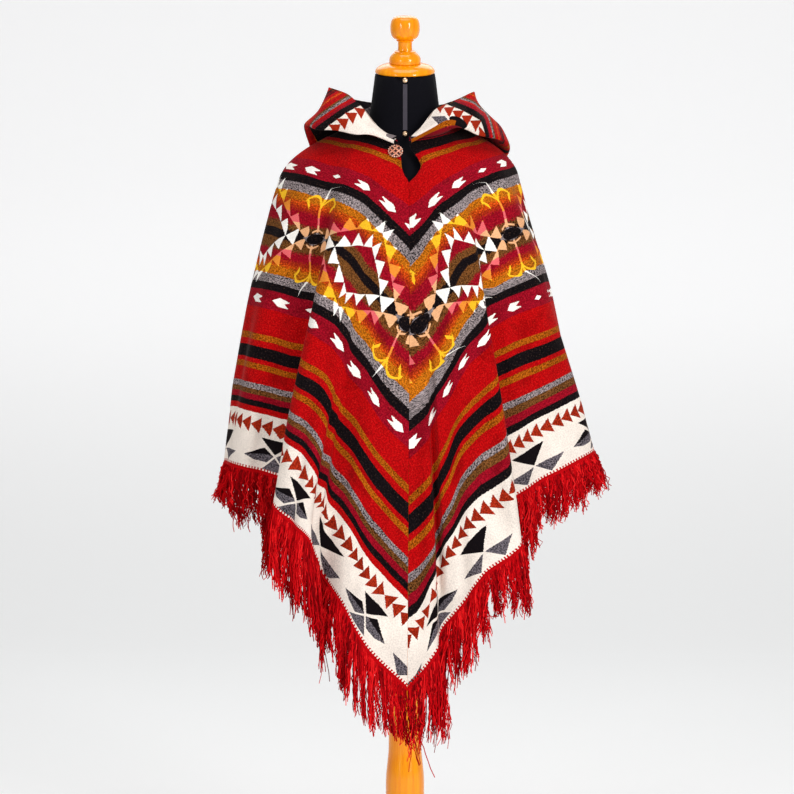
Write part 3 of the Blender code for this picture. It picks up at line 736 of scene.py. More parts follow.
def wall(name, grid, face_normals, weave, finish, slot, *nodes):
    """A closed wall of cloth round a grid of middle points."""
    rows, cols = grid.shape[:2]
    offset = face_normals * CLOTH / 2
    points = np.vstack([(grid + offset).reshape(-1, 3), (grid - offset).reshape(-1, 3)])
    at = np.arange(rows * cols).reshape(rows, cols)
    a, b, c, d = at[:-1, :-1], at[:-1, 1:], at[1:, 1:], at[1:, :-1]
    front = np.stack([a, b, c, d], axis=-1).reshape(-1, 4)
    back = front[:, ::-1] + rows * cols
    rim = [*at[0, :-1], *at[:-1, -1], *at[-1, :0:-1], *at[:0:-1, 0]]
    edge = [(p, q, q + rows * cols, p + rows * cols)[::-1] for p, q in zip(rim, rim[1:] + rim[:1])]
    faces = np.vstack([front, back, np.array(edge)])
    facing = np.cross(grid[0, 1] - grid[0, 0], grid[1, 0] - grid[0, 0])
    if (facing * face_normals[0, 0]).sum() < 0:
        faces = faces[:, ::-1]
    obj = piece(name, points, [tuple(map(int, f)) for f in faces], finish, slot, *nodes)
    keep_attribute(obj, "weave", "FLOAT_VECTOR", np.vstack([weave.reshape(-1, 3)] * 2))
    keep_attribute(obj, "reverse", "FLOAT", np.repeat((0.0, 1.0), rows * cols))
    return obj


print("every wall of cloth is", CLOTH * 1000, "mm thick")

# %% [markdown]
# ## Dyes
#
# The cloth uses seventeen yarn colours. Natural cream, greys and near-black come from
# undyed fleece; the reds, oranges and mustards are dyed. Every colour is named once, as a
# screen colour, and each stripe of the weave names the yarn that it is made of.

# %% Yarn colours
DYES = {name: dye(*rgb) for name, rgb in {
    "cream": (236, 224, 213), "white": (248, 243, 236), "black": (17, 12, 15),
    "grey": (126, 115, 116), "dark_grey": (88, 82, 88), "red": (176, 6, 10),
    "crimson": (146, 9, 30), "maroon": (104, 4, 16), "mustard": (178, 98, 14),
    "ochre": (154, 76, 8), "orange": (186, 66, 12), "rust": (158, 40, 18),
    "brown": (102, 62, 28), "salmon": (236, 176, 128), "pink": (226, 100, 104),
    "light_orange": (232, 140, 50), "yellow": (246, 190, 40),
}.items()}
# how strongly each yarn is mottled: the undyed ones are spun from fleeces of two shades
MOTTLED = {"cream": 0.10, "grey": 1.0, "black": 0.55, "brown": 0.75, "mustard": 0.62,
           "ochre": 0.66, "dark_grey": 0.9, "orange": 0.6, "rust": 0.5, "crimson": 0.40, "red": 0.34,
           "maroon": 0.5}
# the stripes of the woven strip, from the hem up: yarn, and the height in mm where it stops
SHARED_STRIPES = (("grey", 164), ("red", 189), ("ochre", 200), ("red", 209), ("black", 232),
                  ("red", 244), ("ochre", 255), ("red", 302), ("crimson", 337), ("black", 353))
HEM_STRIPES = {
    "left": (("cream", 110), ("red", 121), ("black", 132), ("crimson", 143), ("brown", 153),
             *SHARED_STRIPES),
    "right": (("cream", 110), ("black", 124), ("crimson", 139), ("brown", 152),
              *SHARED_STRIPES),
}
YOKE_STRIPES = (
    ("grey", 371), ("mustard", 388), ("orange", 396), ("rust", 404), ("crimson", 420),
    ("brown", 440.5), ("black", 464.5), ("brown", 475), ("crimson", 500), ("rust", 509),
    ("orange", 518), ("mustard", 534), ("grey", 551), ("black", 567), ("crimson", 603),
    ("red", 654), ("ochre", 664), ("red", 674), ("black", 697), ("crimson", 710))
# the light partner of each yarn in the figured band, by distance from its middle line in mm
LIGHT_PARTNERS = (("salmon", 28), ("pink", 43), ("light_orange", 61), ("yellow", 80),
                  ("white", 130))


def stepped(finish, height, table, low, high, alphas=None):
    """A ramp that changes its yarn where each stripe of a table stops."""
    stops, start = [], low
    for yarn, top in table:
        alpha = alphas[yarn] if alphas else 1.0
        stops.append(((start - low) / (high - low), (*DYES[yarn][:3], alpha)))
        start = top
    return finish.ramp((height - low) / (high - low), stops, interpolation="CONSTANT")


def stripes(finish, height, table, low, high):
    """The colour of a row of stripes, and how mottled each is, which its alpha keeps."""
    colour = stepped(finish, height, table, low, high, MOTTLED)
    return colour, Wire(finish, colour.socket.node.outputs["Alpha"])


print(len(DYES), "yarn colours, in", len(SHARED_STRIPES) + len(YOKE_STRIPES), "shared stripes")

# %% [markdown]
# ## Figures of the weave
#
# Every figure is a sum. A triangle is a height compared with a sloping line, a diamond is
# two distances added, and a row of them repeats with a remainder, as the loom's pattern
# does. Lengths are in millimetres along (p) and above the hem (v).

# %% Border: arrow triangles and flowers
FLOWER_PITCH, FIRST_DIAMOND = 145.5, 96.0


def arrow_row(p, v):
    """Triangles nose to tail, which turn round every fourth flower."""
    span = 4 * FLOWER_PITCH
    run = abs((p - FIRST_DIAMOND + span) % (2 * span) - span)
    share = (run / (FLOWER_PITCH / 7)) % 1.0
    return abs(v - 87.5) < 15.5 * (1 - share)


def flower_a(p, v):
    """The full flower: black above, grey below and a split leaf on each side."""
    q = abs((p - 387 + FLOWER_PITCH) % (2 * FLOWER_PITCH) - FLOWER_PITCH)
    y = v - 36.4
    black = (y > 3.4 + 0.78 * q) & (y < 31.5 - 0.06 * q)
    grey = (y < -3.0 - q) & (y > -29.0)
    leaf = ((y < (0.62 * q - 2.0).least(22.5 - 0.49 * q)) & (y > (2.0 - q).most(-15.5))
            & (y > 0.33 * q - 29.5))
    upper = y > 3.0 - 0.173 * q
    return black | (leaf & upper), grey | (leaf & ~upper)


def flower_b(p, v):
    """The half flower: one black petal over two grey wings."""
    q = abs((p - 387) % (2 * FLOWER_PITCH) - FLOWER_PITCH)
    y = v - 30.0
    black = (y > 1.0 + 0.92 * q) & (y < 35.0)
    wing = (y < -1.0) & (y > 1.0 - 0.96 * q) & (y > 0.686 * q - 43.5)
    return black, wing


print("a flower every", FLOWER_PITCH, "mm; the arrows turn every", 4 * FLOWER_PITCH, "mm")


# %% Figured band: medallions, their rings and the ornaments between them
BAND_MIDDLE, MEDALLION_PITCH, MEDALLION_AT = 452.5, 246.0, 231.0
HALF_LONG, HALF_TALL, RING_GAP, FIRST_TOOTH, TOOTH = 62.5, 51.0, 34.0, 14.5, 24.0
BAND_REACH, BAND_ENDS = 112, 432   # the last medallion is cut off at the front seam


def medallion_place(p, v):
    """Distances from the middle of the nearest medallion, and height over its edge."""
    half = MEDALLION_PITCH / 2
    long = abs((p - MEDALLION_AT + half) % MEDALLION_PITCH - half)
    tall = abs(v - BAND_MIDDLE)
    return long, tall, tall - HALF_TALL + HALF_TALL / HALF_LONG * long


def teeth(long):
    """The outline of the triangles that stand on a medallion's edge."""
    first = (2.9 * long).least(4.9 * (FIRST_TOOTH - long))
    share = (long - FIRST_TOOTH) % TOOTH
    return first.most((1.42 * share).least(3.77 * (TOOTH - share)) * (long > FIRST_TOOTH))


def white_teeth(long, tall, edge):
    ring = (edge > 0) & (edge < teeth(long)) & (long < HALF_LONG)
    side = (long > HALF_LONG) & (long < 84.5) & (tall < 0.85 * (long - HALF_LONG))
    return ring | side


def light_teeth(long, edge):
    over = edge - RING_GAP
    return ((over > 0) & (over < teeth(long)) & (long < 106)) | ((abs(over) < 1.2) & (long < 98))


def ornament(long, tall):
    """Between two medallions: a framed lozenge, stems with a spike, and curled horns."""
    q = MEDALLION_PITCH / 2 - long
    frame = (q / 24 + tall / 14.5) < 1
    stem = (q < 1.8) & (tall > 14) & (tall < 76)
    foot = (abs(tall - 20 + 0.62 * q) < 1.9) & (q < 11)
    bend = q - 17
    horn = (abs(tall - 83 + 0.062 * bend * bend) < 2.8) & (q < 32)
    tip = (abs(tall - 60 - 1.6 * (q - 22)) < 4.0) & (q > 21) & (q < 31)
    spike = (q < 0.075 * (112 - tall)) & (tall > 76)
    return frame, stem | foot | spike, horn | tip, (q * q / 240 + tall * tall / 125) < 1


print("a medallion is", 2 * HALF_LONG, "by", 2 * HALF_TALL, "mm, one every", MEDALLION_PITCH)


# %% Small birds in the crimson bands
BIRD_PITCH = 61.5
BIRD_ROWS = ((137.0, 320.0), (65.0, 582.0))   # where a row turns round, and its height


def birds(p, v, turn_at, height):
    """White birds in a row, flying away from a diamond on both sides."""
    from_turn = p - turn_at
    ahead = (from_turn > 0) * 2 - 1
    x = ((from_turn + BIRD_PITCH / 2) % BIRD_PITCH - BIRD_PITCH / 2) * ahead
    y = abs(v - height + 0.06 * x * ahead)
    bird = (y < (0.62 * (18 - x)).least(7.4 + 0.08 * x)) & (y > -0.42 * (x + 7)) & (x > -18)
    diamond = (y / 4.6 + abs(from_turn) / 11) < 1
    return (bird & (abs(from_turn) > BIRD_PITCH / 2)) | diamond


print(len(BIRD_ROWS), "rows of birds, one bird every", BIRD_PITCH, "mm")

# %% [markdown]
# ## The cloth's finish
#
# The colour starts as stripes. Each figure is then laid over it in turn, so that only one
# running colour is alive at a time. Woven edges aren't ruled lines: the two numbers are
# shifted by a slow wander (hand tension) and by a fine one (the steps of the threads). Over
# it come blotches of uneven dye, slanted brushed hairs and the ribs of the weft.

# %% Wool finishes
def wool_surface(finish, colour, mottled, p, v, plane, reverse):
    """Mottled fleece, dye blotches, brushed hair and weft ribs, on any wool colour."""
    blotch = finish.noise(plane, 17.0, 3.0, 0.6)
    hair_place = finish.stretched(plane, 300.0, 85.0, 1.0, (0, 0, 0.5))
    hair = finish.noise(hair_place, 1.0, 3.0, 0.65)
    speck = finish.noise(plane, 340.0, 2.0, 0.8)
    rows = (v * 1.75).wave() * (p * 1.5).wave()
    grain = (speck.soft(0.42, 0.58) - 0.5) * 1.7 + 1.3 * (hair - 0.5)
    shade = (1.0 + mottled * grain + (0.55 + 0.9 * mottled) * (blotch - 0.5)
             + (0.12 - 0.1 * mottled) * rows)
    worn = finish.node("HueSaturation", {}, {"Color": colour, "Saturation": 1.0,
                                             "Value": shade})
    reds = (mottled > 0.2) & (mottled < 0.52)
    deep = finish.blend(blotch.soft(0.50, 0.66, 0.0, 0.4) * reds, worn, DYES["maroon"],
                        "MULTIPLY")
    lint = finish.blend(speck.soft(0.60, 0.74, 0.0, 0.22) * mottled, deep, DYES["salmon"])
    dull = finish.blend(reverse * 0.20, lint, dye(70, 62, 66))
    height = 0.55 * hair + 0.30 * speck + 0.10 * rows
    rough = 0.86 + 0.12 * hair
    return finish.done(dull, rough, height, 0.55, 0.0016, Specular_IOR_Level=0.04,
                       Sheen_Weight=0.05, Sheen_Roughness=0.4,
                       Sheen_Tint=(1.0, 0.80, 0.74, 1.0))


def weave_place(finish):
    """The cloth's own numbers in millimetres, with the wander of a hand weave."""
    along, above, row = finish.axes(finish.attribute("weave", "Vector"))
    plane = finish.node("CombineXYZ", {}, {0: along, 1: above})
    slow, fine = finish.noise(plane, 14.0, 1.0), finish.noise(plane, 420.0, 0.0)
    p = along * 1000 + 4.0 * (slow - 0.5) + 1.8 * (fine - 0.5)
    v = above * 1000 + 4.0 * (finish.noise(plane, 11.0, 1.0) - 0.5) + 2.0 * (fine - 0.5)
    return p, v, row, plane


def panel_cloth(which):
    finish = Finish("wool_" + which)
    p, v, row, plane = weave_place(finish)
    reverse = finish.attribute("reverse")
    low, low_mottled = stripes(finish, v, HEM_STRIPES[which], 0, 353)
    mingle = finish.noise(plane, 330.0, 2.0, 0.8)
    inner = (abs(v - BAND_MIDDLE) < 76) * 26.0 + 4.0
    high, high_mottled = stripes(finish, v + (mingle - 0.5) * inner, YOKE_STRIPES, 353, 710)
    colour = finish.blend(v > 353, low, high)
    mottled = low_mottled + (v > 353) * (high_mottled - low_mottled)
    arrows = arrow_row(p, v)
    colour = finish.blend(arrows, colour, DYES["rust"])
    mottled = mottled + 0.4 * arrows
    for black, grey in (flower_a(p, v), flower_b(p, v)):
        colour = finish.blend(black, colour, DYES["black"])
        colour = finish.blend(grey, colour, DYES["dark_grey"])
        mottled = mottled + 0.8 * grey
    edge_run = row * 1000
    stitch = (edge_run < 8.5) & ((p / 6.2) % 1.0 < 0.5)
    colour = finish.blend(stitch | (edge_run < 4.4), colour, DYES["red"])
    for turn_at, height in BIRD_ROWS:
        flock = birds(p, v, turn_at, height)
        colour = finish.blend(flock, colour, DYES["white"])
        mottled = mottled * (1 - 0.8 * flock)
    long, tall, edge = medallion_place(p, v)
    light = stepped(finish, tall, LIGHT_PARTNERS, 0, LIGHT_PARTNERS[-1][1])
    in_band = (tall < BAND_REACH) & (p < BAND_ENDS)
    colour = finish.blend((edge < 0) & (tall > 8.5) & (tall < 14), colour, DYES["brown"])
    colour = finish.blend(white_teeth(long, tall, edge) & in_band, colour, DYES["white"])
    colour = finish.blend(light_teeth(long, edge) & in_band, colour, light)
    frame_ground, stems, horns, lozenge = ornament(long, tall)
    colour = finish.blend(frame_ground, colour, DYES["grey"])
    colour = finish.blend(stems & in_band, colour, light)
    colour = finish.blend(horns & in_band, colour, DYES["yellow"])
    colour = finish.blend(lozenge, colour, DYES["black"])
    plain = (white_teeth(long, tall, edge) | light_teeth(long, edge) | stems | horns) & in_band
    return wool_surface(finish, colour, mottled * (1 - 0.85 * plain), p, v, plane, reverse)


panel_finishes = {which: panel_cloth(which) for which in ("left", "right")}

# %% [markdown]
# ## The two panels
#
# The columns are spaced evenly along the hem, closer in front than behind, where less is
# seen, and the rows five millimetres apart. The creases are then pushed out of the smooth
# form along the cloth's own normals.

# %% Hang the panels
FRONT_COLUMNS, BACK_COLUMNS, ROW_STEP = 176, 96, 0.005
rings = np.linspace(0.0, PANEL_DEPTH, round(PANEL_DEPTH / ROW_STEP) + 1)


def even_columns(folds, side):
    """Places spaced evenly along the hem, in front and behind."""
    dense = np.linspace(-1, 1, 2001)
    low_ring = panel_grid(folds, side, dense, [0.12])
    arc = run_along(low_ring)[0]
    middle = np.interp(0.0, dense, arc)
    back = np.interp(np.linspace(0, middle, BACK_COLUMNS, endpoint=False), arc, dense)
    front = np.interp(np.linspace(middle, arc[-1], FRONT_COLUMNS), arc, dense)
    return np.concatenate([back, front])


panels, panel_grids = {}, {}
for which, folds, side in (("left", LEFT_FOLDS, -1), ("right", RIGHT_FOLDS, 1)):
    places = even_columns(folds, side)
    grid = panel_grid(folds, side, places, rings)
    along = along_strip(grid, places, rings, which)
    above = rings[:, None] - band_drift(grid, rings, which)
    shift, rise = figures_hang(along, above, which)
    weave = np.stack([along + shift, above + rise,
                      np.broadcast_to(rings[:, None], above.shape)], axis=-1)
    out = outward(grid)
    grid = grid + out * crease_depth(grid, places, rings, which)[..., None]
    panel_grids[which] = grid
    panels[which] = wall("poncho_panel_" + which, grid, outward(grid), weave,
                         panel_finishes[which], "cloth", "panel_" + which)

# %% [markdown]
# ## The hood
#
# The hood isn't worn: it lies open, its lower part folded out over the shoulders and its
# back hanging as a pouch. Each half is one sheet whose rows run from the neck seam, under
# and round the fold, up the belly to the rim. It is cut from the same blanket as the
# panels, so its front corner shows the cream border, and stripes run across its wings.

# %% Hood tables
# name, place, fold x y z, belly x y z, rim x y z; the halves meet on the first of these rows
HOOD_BACK = ("back", 1.00, 0.0000, 0.1660, 1.1500, 0.0000, 0.2000, 1.2900, 0.0000, 0.1500, 1.4460)
HOOD_LEFT = (
    ("front", 0.00, -0.0200, -0.0945, 1.3450, -0.0205, -0.0965, 1.3495, -0.0170, -0.0880, 1.3520),
    ("lapel_1", 0.12, -0.0595, -0.0980, 1.3597, -0.0580, -0.0985, 1.3679, -0.0526, -0.0800, 1.3800),
    ("lapel_2", 0.25, -0.0920, -0.0980, 1.3615, -0.0905, -0.0930, 1.3866, -0.0846, -0.0580, 1.4197),
    ("wing_1", 0.36, -0.1267, -0.0860, 1.3702, -0.1234, -0.0750, 1.4034, -0.1065, -0.0300, 1.4418),
    ("peak", 0.46, -0.1622, -0.0600, 1.3750, -0.1520, -0.0350, 1.4160, -0.1417, 0.0100, 1.4608),
    ("wing_2", 0.55, -0.1843, -0.0050, 1.3890, -0.1620, 0.0200, 1.4143, -0.1255, 0.0500, 1.4554),
    ("shoulder", 0.66, -0.1770, 0.0680, 1.3600, -0.1700, 0.0900, 1.4000, -0.1058, 0.0970, 1.4523),
    ("pouch_1", 0.80, -0.1250, 0.1400, 1.2350, -0.1330, 0.1620, 1.3250, -0.0715, 0.1360, 1.4510),
    HOOD_BACK,
)
HOOD_RIGHT = (
    ("front", 0.00, 0.0108, -0.0945, 1.3467, 0.0110, -0.0965, 1.3510, 0.0095, -0.0880, 1.3546),
    ("lapel_1", 0.12, 0.0505, -0.0980, 1.3660, 0.0460, -0.0975, 1.3720, 0.0344, -0.0800, 1.3828),
    ("lapel_2", 0.25, 0.0885, -0.0950, 1.3791, 0.0779, -0.0850, 1.3984, 0.0605, -0.0620, 1.4125),
    ("wing_1", 0.36, 0.1141, -0.0850, 1.3713, 0.1054, -0.0720, 1.4038, 0.0830, -0.0380, 1.4252),
    ("wing_2", 0.46, 0.1400, -0.0680, 1.3624, 0.1297, -0.0500, 1.4103, 0.1089, -0.0080, 1.4421),
    ("peak", 0.52, 0.1722, -0.0400, 1.3594, 0.1390, -0.0090, 1.4160, 0.1276, 0.0150, 1.4524),
    ("wing_3", 0.60, 0.1915, 0.0000, 1.3485, 0.1715, 0.0300, 1.3965, 0.1068, 0.0500, 1.4400),
    ("shoulder", 0.72, 0.1750, 0.0820, 1.3150, 0.1720, 0.1050, 1.3850, 0.0869, 0.0980, 1.4448),
    ("pouch_1", 0.85, 0.1080, 0.1450, 1.2100, 0.1150, 0.1740, 1.3100, 0.0626, 0.1360, 1.4450),
    HOOD_BACK,
)
HOOD_RISE, HOOD_LIP, HOOD_UNDER, HOOD_LIFT = 0.0034, 0.36, 0.62, 0.006
HOOD_STEPS = (0, 0.6, 1.2, 2, 3, 4.2)   # seam, lip, under, fold, belly, rim along the cloth
# how the blanket lies on the front of each half: a corner of the border's line of arrows
# (x, z, height above the hem in mm), the direction in which the stripes climb (x, z), the
# start along the row of arrows, and the station from which the stripes follow the rim
HOOD_LAY = {"left": (-0.1436, 1.3734, 101.0, -0.570, 0.822, 0.128, 0.46),
            "right": (0.0759, 1.4080, 88.0, 0.445, 0.895, 0.0, 0.58)}
HOOD_SCALE = 1.18
HOOD_STRIPES = (
    ("cream", 99), ("black", 115), ("crimson", 122), ("red", 128), ("grey", 135),
    ("brown", 140), ("red", 149), ("orange", 154), ("red", 161), ("maroon", 169),
    ("black", 174),
    ("red", 190), ("ochre", 200), ("red", 214), ("black", 238), ("red", 250),
    ("mustard", 260), ("red", 318), ("crimson", 350), ("black", 366), ("grey", 385),
    ("mustard", 402), ("orange", 420), ("crimson", 440), ("black", 460), ("red", 560))


LINING_STRIPES = (("grey", 15), ("black", 19), ("dark_grey", 31), ("black", 36))
print(len(HOOD_LEFT), "stations on the left half and", len(HOOD_RIGHT), "on the right")


# %% The sheet of each half
def hood_grid(table, side, stations, steps):
    """Rows run from the neck seam, under and round the fold, up to the rim."""
    keys = [row[1] for row in table]
    given = smooth(keys, [row[2:11] for row in table], stations)
    seam = neck_ring(1 - 2 * stations, side)
    open_slit(seam, PANEL_DEPTH, 1 - 2 * stations, side)
    seam[:, 2] += HOOD_RISE
    fold, belly, rim = given[:, 0:3], given[:, 3:6], given[:, 6:9]
    away = unit(fold * (1, 1, 0))
    reach = np.minimum(np.linalg.norm(fold - seam, axis=1), 0.050)[:, None]
    lip = seam + (away + 0.3 * UP) * HOOD_LIP * reach
    under = seam + (fold - seam) * HOOD_UNDER + away * HOOD_LIFT + 0.003 * UP
    control = np.stack([seam, lip, under, fold, belly, rim])
    flat = smooth(HOOD_STEPS, control.reshape(len(control), -1), steps)
    return flat.reshape(len(steps), len(stations), 3)


# %% Hood finish
def hood_cloth(which):
    finish = Finish("hood_wool_" + which)
    p, v, row, plane = weave_place(finish)
    reverse = finish.attribute("reverse")
    colour, mottled = stripes(finish, v, HOOD_STRIPES, 0, 560)
    colour = finish.blend(arrow_row(p, v), colour, DYES["rust"])
    if which == "right":
        # a leaf, a black petal, and the neck's mustard stripe turned up at the fold
        leaf = ((abs(p - 3) / 25 + abs(v - 58) / 13) < 1)
        petal = (((p - 34) * (p - 34)) / 420 + ((v - 72) * (v - 72)) / 100) < 1
        colour = finish.blend(leaf, colour, DYES["dark_grey"])
        colour = finish.blend(petal, colour, DYES["black"])
        colour = finish.blend((row + 0.011 * p < 2.66) & (p < 30), colour, DYES["ochre"])
        colour = finish.blend(row + 0.003 * p < 1.9, colour, DYES["crimson"])
        mottled = mottled + 0.7 * leaf
    else:
        colour = finish.blend((row < 1.95) & (p > 104), colour, DYES["black"])
        colour = finish.blend((row < 1.98) & (p < 104), colour, DYES["red"])
        colour = finish.blend((row < 1.62) & (row > 1.35) & (p < 104), colour, DYES["ochre"])
    worn_edge = (row > 4.06) & ((p / 9) % 1.0 < 0.4)
    colour = finish.blend(worn_edge * 0.6, colour, DYES["brown"])
    lining_pitch = LINING_STRIPES[-1][1]
    lining = stripes(finish, v % lining_pitch, LINING_STRIPES, 0, lining_pitch)[0]
    colour = finish.blend(reverse, colour, lining)
    return wool_surface(finish, colour, mottled, p, v, plane, reverse)


# %% Hang the hood
STATIONS, HOOD_ROWS = 110, 64
TURNS_WITHIN = 0.14                      # stations over which the stripes turn to the rim
SWEEP_FROM, SWEEP_RISE = 0.072, 1.5      # where the right half's stripes start to sweep down
HOOD_WAVE = 0.0016
hood_stations = np.linspace(0, 1, STATIONS)
hood_steps = np.linspace(0, HOOD_STEPS[-1], HOOD_ROWS)
for which, table, side in (("left", HOOD_LEFT, -1), ("right", HOOD_RIGHT, 1)):
    grid = hood_grid(table, side, hood_stations, hood_steps)
    grid[:, -1, 0] += side * SEAM_NUDGE
    x, z, height, across_x, across_z, start, turns_at = HOOD_LAY[which]
    climb = HOOD_SCALE * ((grid[..., 0] - x) * across_x + (grid[..., 2] - z) * across_z)
    slide = start + HOOD_SCALE * ((grid[..., 0] - x) * across_z - (grid[..., 2] - z) * across_x)
    # behind the peak the stripes follow the rim, and meet in a point at the back seam
    drop = run_along(grid.transpose(1, 0, 2)).T
    drop = drop[-1:] - drop
    behind = 0.150 + 0.85 * drop - 0.12 * hood_stations
    share = ease((hood_stations - turns_at) / TURNS_WITHIN)
    above = (height / 1000 + climb) * (1 - share) + behind * share
    # past the end of the border the blanket is turned, so its stripes sweep down and out
    if which == "right":
        past = np.clip(slide - SWEEP_FROM, 0, 0.2)
        above = above + SWEEP_RISE * past * past / (past + 0.012)
    out = unit(np.cross(np.gradient(grid, axis=1), np.gradient(grid, axis=0)))
    if (out[-20:] * grid[-20:] * (1, 1, 0)).sum() < 0:
        out = -out
    u, w = np.meshgrid(hood_stations, hood_steps)
    sway = np.sin(26 * u + 2.1 * w) * np.sin(1.6 * w + 9 * u) * np.clip(w - 2.2, 0, 1)
    sway = HOOD_WAVE * sway
    grid = grid + out * sway[..., None] * np.clip((1 - u) / 0.08, 0, 1)[..., None]
    weave = np.stack([slide, above, w], axis=-1)
    wall("poncho_hood_" + which, grid, out, weave, hood_cloth(which),
                        "hood_cloth", "hood_" + which)

# %% [markdown]
# ## The fringe
#
# Every yarn of the fringe is drawn through the hem, so it leaves the cloth square to the
# edge and then turns to hang. Yarns cling together in locks of uneven width, whose ends
# draw in, and each keeps some of the crimp of its twist. Thousands of them would be slow to
# simulate, so each is a bent prism with few faces, and the locks are worked out with numbers
# drawn from one seeded generator.

# %% Fringe sizes and its yarns
YARN_LENGTH, YARN_RADIUS, YARN_PITCH, YARN_LAYERS = 0.062, 0.00112, 0.00130, 2
YARN_RINGS, YARN_SIDES = 14, 3
# longer where the hem slopes, because there the yarns slide and sag
SLOPE_LENGTH, HIGH_HEM, HIGH_LENGTH = 0.088, (0.56, 0.64), {"left": 0.070, "right": 0.0}
LOCK_WIDTH = (0.004, 0.017)
HEM_ROLL, HEM_ROLL_SIDES, ROLL_DROP, ROLL_TONE = 0.0026, 8, 0.0006, 0.45
KINK = 0.0016            # how far a yarn's old twist throws it aside between two rings
CRIMP_ALONG, CRIMP_OUT = 0.0026, 0.0016
LOCK_SWAY, YARN_SWAY, LOCK_SPREAD, YARN_SPREAD, STRAYS = 0.0145, 0.0034, 0.075, 0.06, 0.04
TIP_SLOPE, TIP_REACH = 0.62, 0.09   # at the hem's front tip yarns hang as on a slope
BEND_SHARE = 0.72                   # share of a yarn's length in which it turns to hang
print("yarns hang", YARN_LENGTH, "m from a level hem and more from a sloping one")


# %% Yarns as prisms, and their paths


def tubes(paths, radii, sides):
    """Points and faces of prisms along many paths, given as one array."""
    count, rings_each, _ = paths.shape
    ahead = unit(np.gradient(paths, axis=1))
    across = unit(np.cross(ahead, np.array((0.31, 0.95, 0.05))))
    up = np.cross(across, ahead)
    turn = np.arange(sides) * 2 * math.pi / sides
    ring = (across[:, :, None] * np.cos(turn)[None, None, :, None]
            + up[:, :, None] * np.sin(turn)[None, None, :, None])
    points = paths[:, :, None] + ring * radii[:, :, None, None]
    at = np.arange(count * rings_each * sides).reshape(count, rings_each, sides)
    a, b = at[:, :-1], at[:, 1:]
    quads = np.stack([a, np.roll(a, -1, 2), np.roll(b, -1, 2), b], axis=-1).reshape(-1, 4)
    caps = np.vstack([at[:, 0, ::-1], at[:, -1]])
    return points.reshape(-1, 3), [*map(tuple, quads.tolist()), *map(tuple, caps.tolist())]


def fringe_paths(grid, chance, which):
    """Middle lines of the yarns under a hem, the tone of each, and its share of length."""
    hem, fall = grid[0], unit(grid[0] - grid[2])
    out = outward(grid)[0]
    arc = np.concatenate([[0], np.cumsum(np.linalg.norm(np.diff(hem, axis=0), axis=1))])
    count = int(arc[-1] / YARN_PITCH)
    at = np.sort((np.arange(count) + chance.uniform(-0.6, 0.6, count)) * YARN_PITCH)
    at = np.clip(at, 0.001, arc[-1] - 0.001)

    def on(curve, places):
        return np.column_stack([np.interp(places, arc, curve[:, k]) for k in range(3)])

    edges = np.cumsum(chance.uniform(*LOCK_WIDTH, int(arc[-1] / LOCK_WIDTH[0])))
    lock = np.searchsorted(edges, at)
    locks = lock.max() + 1
    centre = np.array([at[lock == k].mean() if (lock == k).any() else 0 for k in range(locks)])
    lock_sway = chance.normal(0, LOCK_SWAY, (locks, 2))
    lock_length = chance.normal(1.0, LOCK_SPREAD, locks)
    draw_in = chance.uniform(0.3, 1.0, locks)[lock]
    slope = abs(on(unit(np.gradient(hem, axis=0)), at)[:, 2])
    slope += (TIP_SLOPE - slope) * np.clip(1 - (arc[-1] - at) / TIP_REACH, 0, 1)
    high = np.clip((on(hem, at)[:, 2] - HIGH_HEM[0]) / (HIGH_HEM[1] - HIGH_HEM[0]), 0, 1)
    extra = SLOPE_LENGTH + HIGH_LENGTH[which] * high
    length = ((YARN_LENGTH + extra * slope * slope) * lock_length[lock]
              * chance.normal(1.0, YARN_SPREAD, count))
    stray = chance.random(count) < STRAYS
    share = np.linspace(0, 1, YARN_RINGS)
    start, down, outs = on(hem, at), unit(on(fall, at)), unit(on(out, at))
    turned = ease(share / BEND_SHARE)
    heading = unit(down[:, None] * (1 - 0.88 * turned)[None, :, None]
                   - UP * (0.12 + 0.95 * turned)[None, :, None]
                   + outs[:, None] * (0.22 * (1 - share))[None, :, None])
    steps = heading * (length / (YARN_RINGS - 1))[:, None, None]
    path = start[:, None] + np.concatenate(
        [np.zeros((count, 1, 3)), np.cumsum(steps[:, 1:], axis=1)], axis=1)
    pull = (centre[lock] - at) * draw_in * np.where(stray, -0.6, 1.0)
    sway = lock_sway[lock] + chance.normal(0, YARN_SWAY, (count, 2))
    sway[stray] *= 1.8
    phase, beat = chance.uniform(0, 6.28, (2, count)), chance.uniform(9, 23, count)
    kink = KINK * chance.normal(size=(2, count, YARN_RINGS)) * np.clip(share * 6, 0, 1)
    crimp = kink[0] + CRIMP_ALONG * np.sin(beat[:, None] * share + phase[0][:, None]) * share
    along = (pull[:, None] * share**1.3 + sway[:, :1] * share**1.6 + crimp)
    proud = (0.4 * sway[:, 1:] * share**1.6
             + kink[1] + CRIMP_OUT * np.sin(beat[:, None] * share + phase[1][:, None]) * share)
    hem_way = unit(on(np.gradient(hem, axis=0), at))
    path += hem_way[:, None] * along[..., None] + outs[:, None] * proud[..., None]
    path += outs[:, None] * chance.normal(0, 0.0007, count)[:, None, None]
    tone = np.clip(0.5 + 0.24 * chance.normal(size=locks)[lock]
                   + 0.3 * chance.normal(size=count), 0, 1)
    return path, tone, share


# %% Fringe finish
def fringe_yarn():
    finish = Finish("fringe_yarn")
    tone = finish.attribute("tone")
    place = finish.object_place()
    ply = finish.noise(place, 420.0, 2.0)
    colour = finish.ramp(tone * 0.8 + ply * 0.25,
                         ((0.0, dye(92, 0, 4)), (0.35, dye(160, 0, 8)),
                          (0.7, dye(206, 4, 14)), (1.0, dye(240, 34, 36))))
    return finish.done(colour, 0.66 + 0.2 * ply, ply, 0.4, 0.0006,
                       Specular_IOR_Level=0.05)


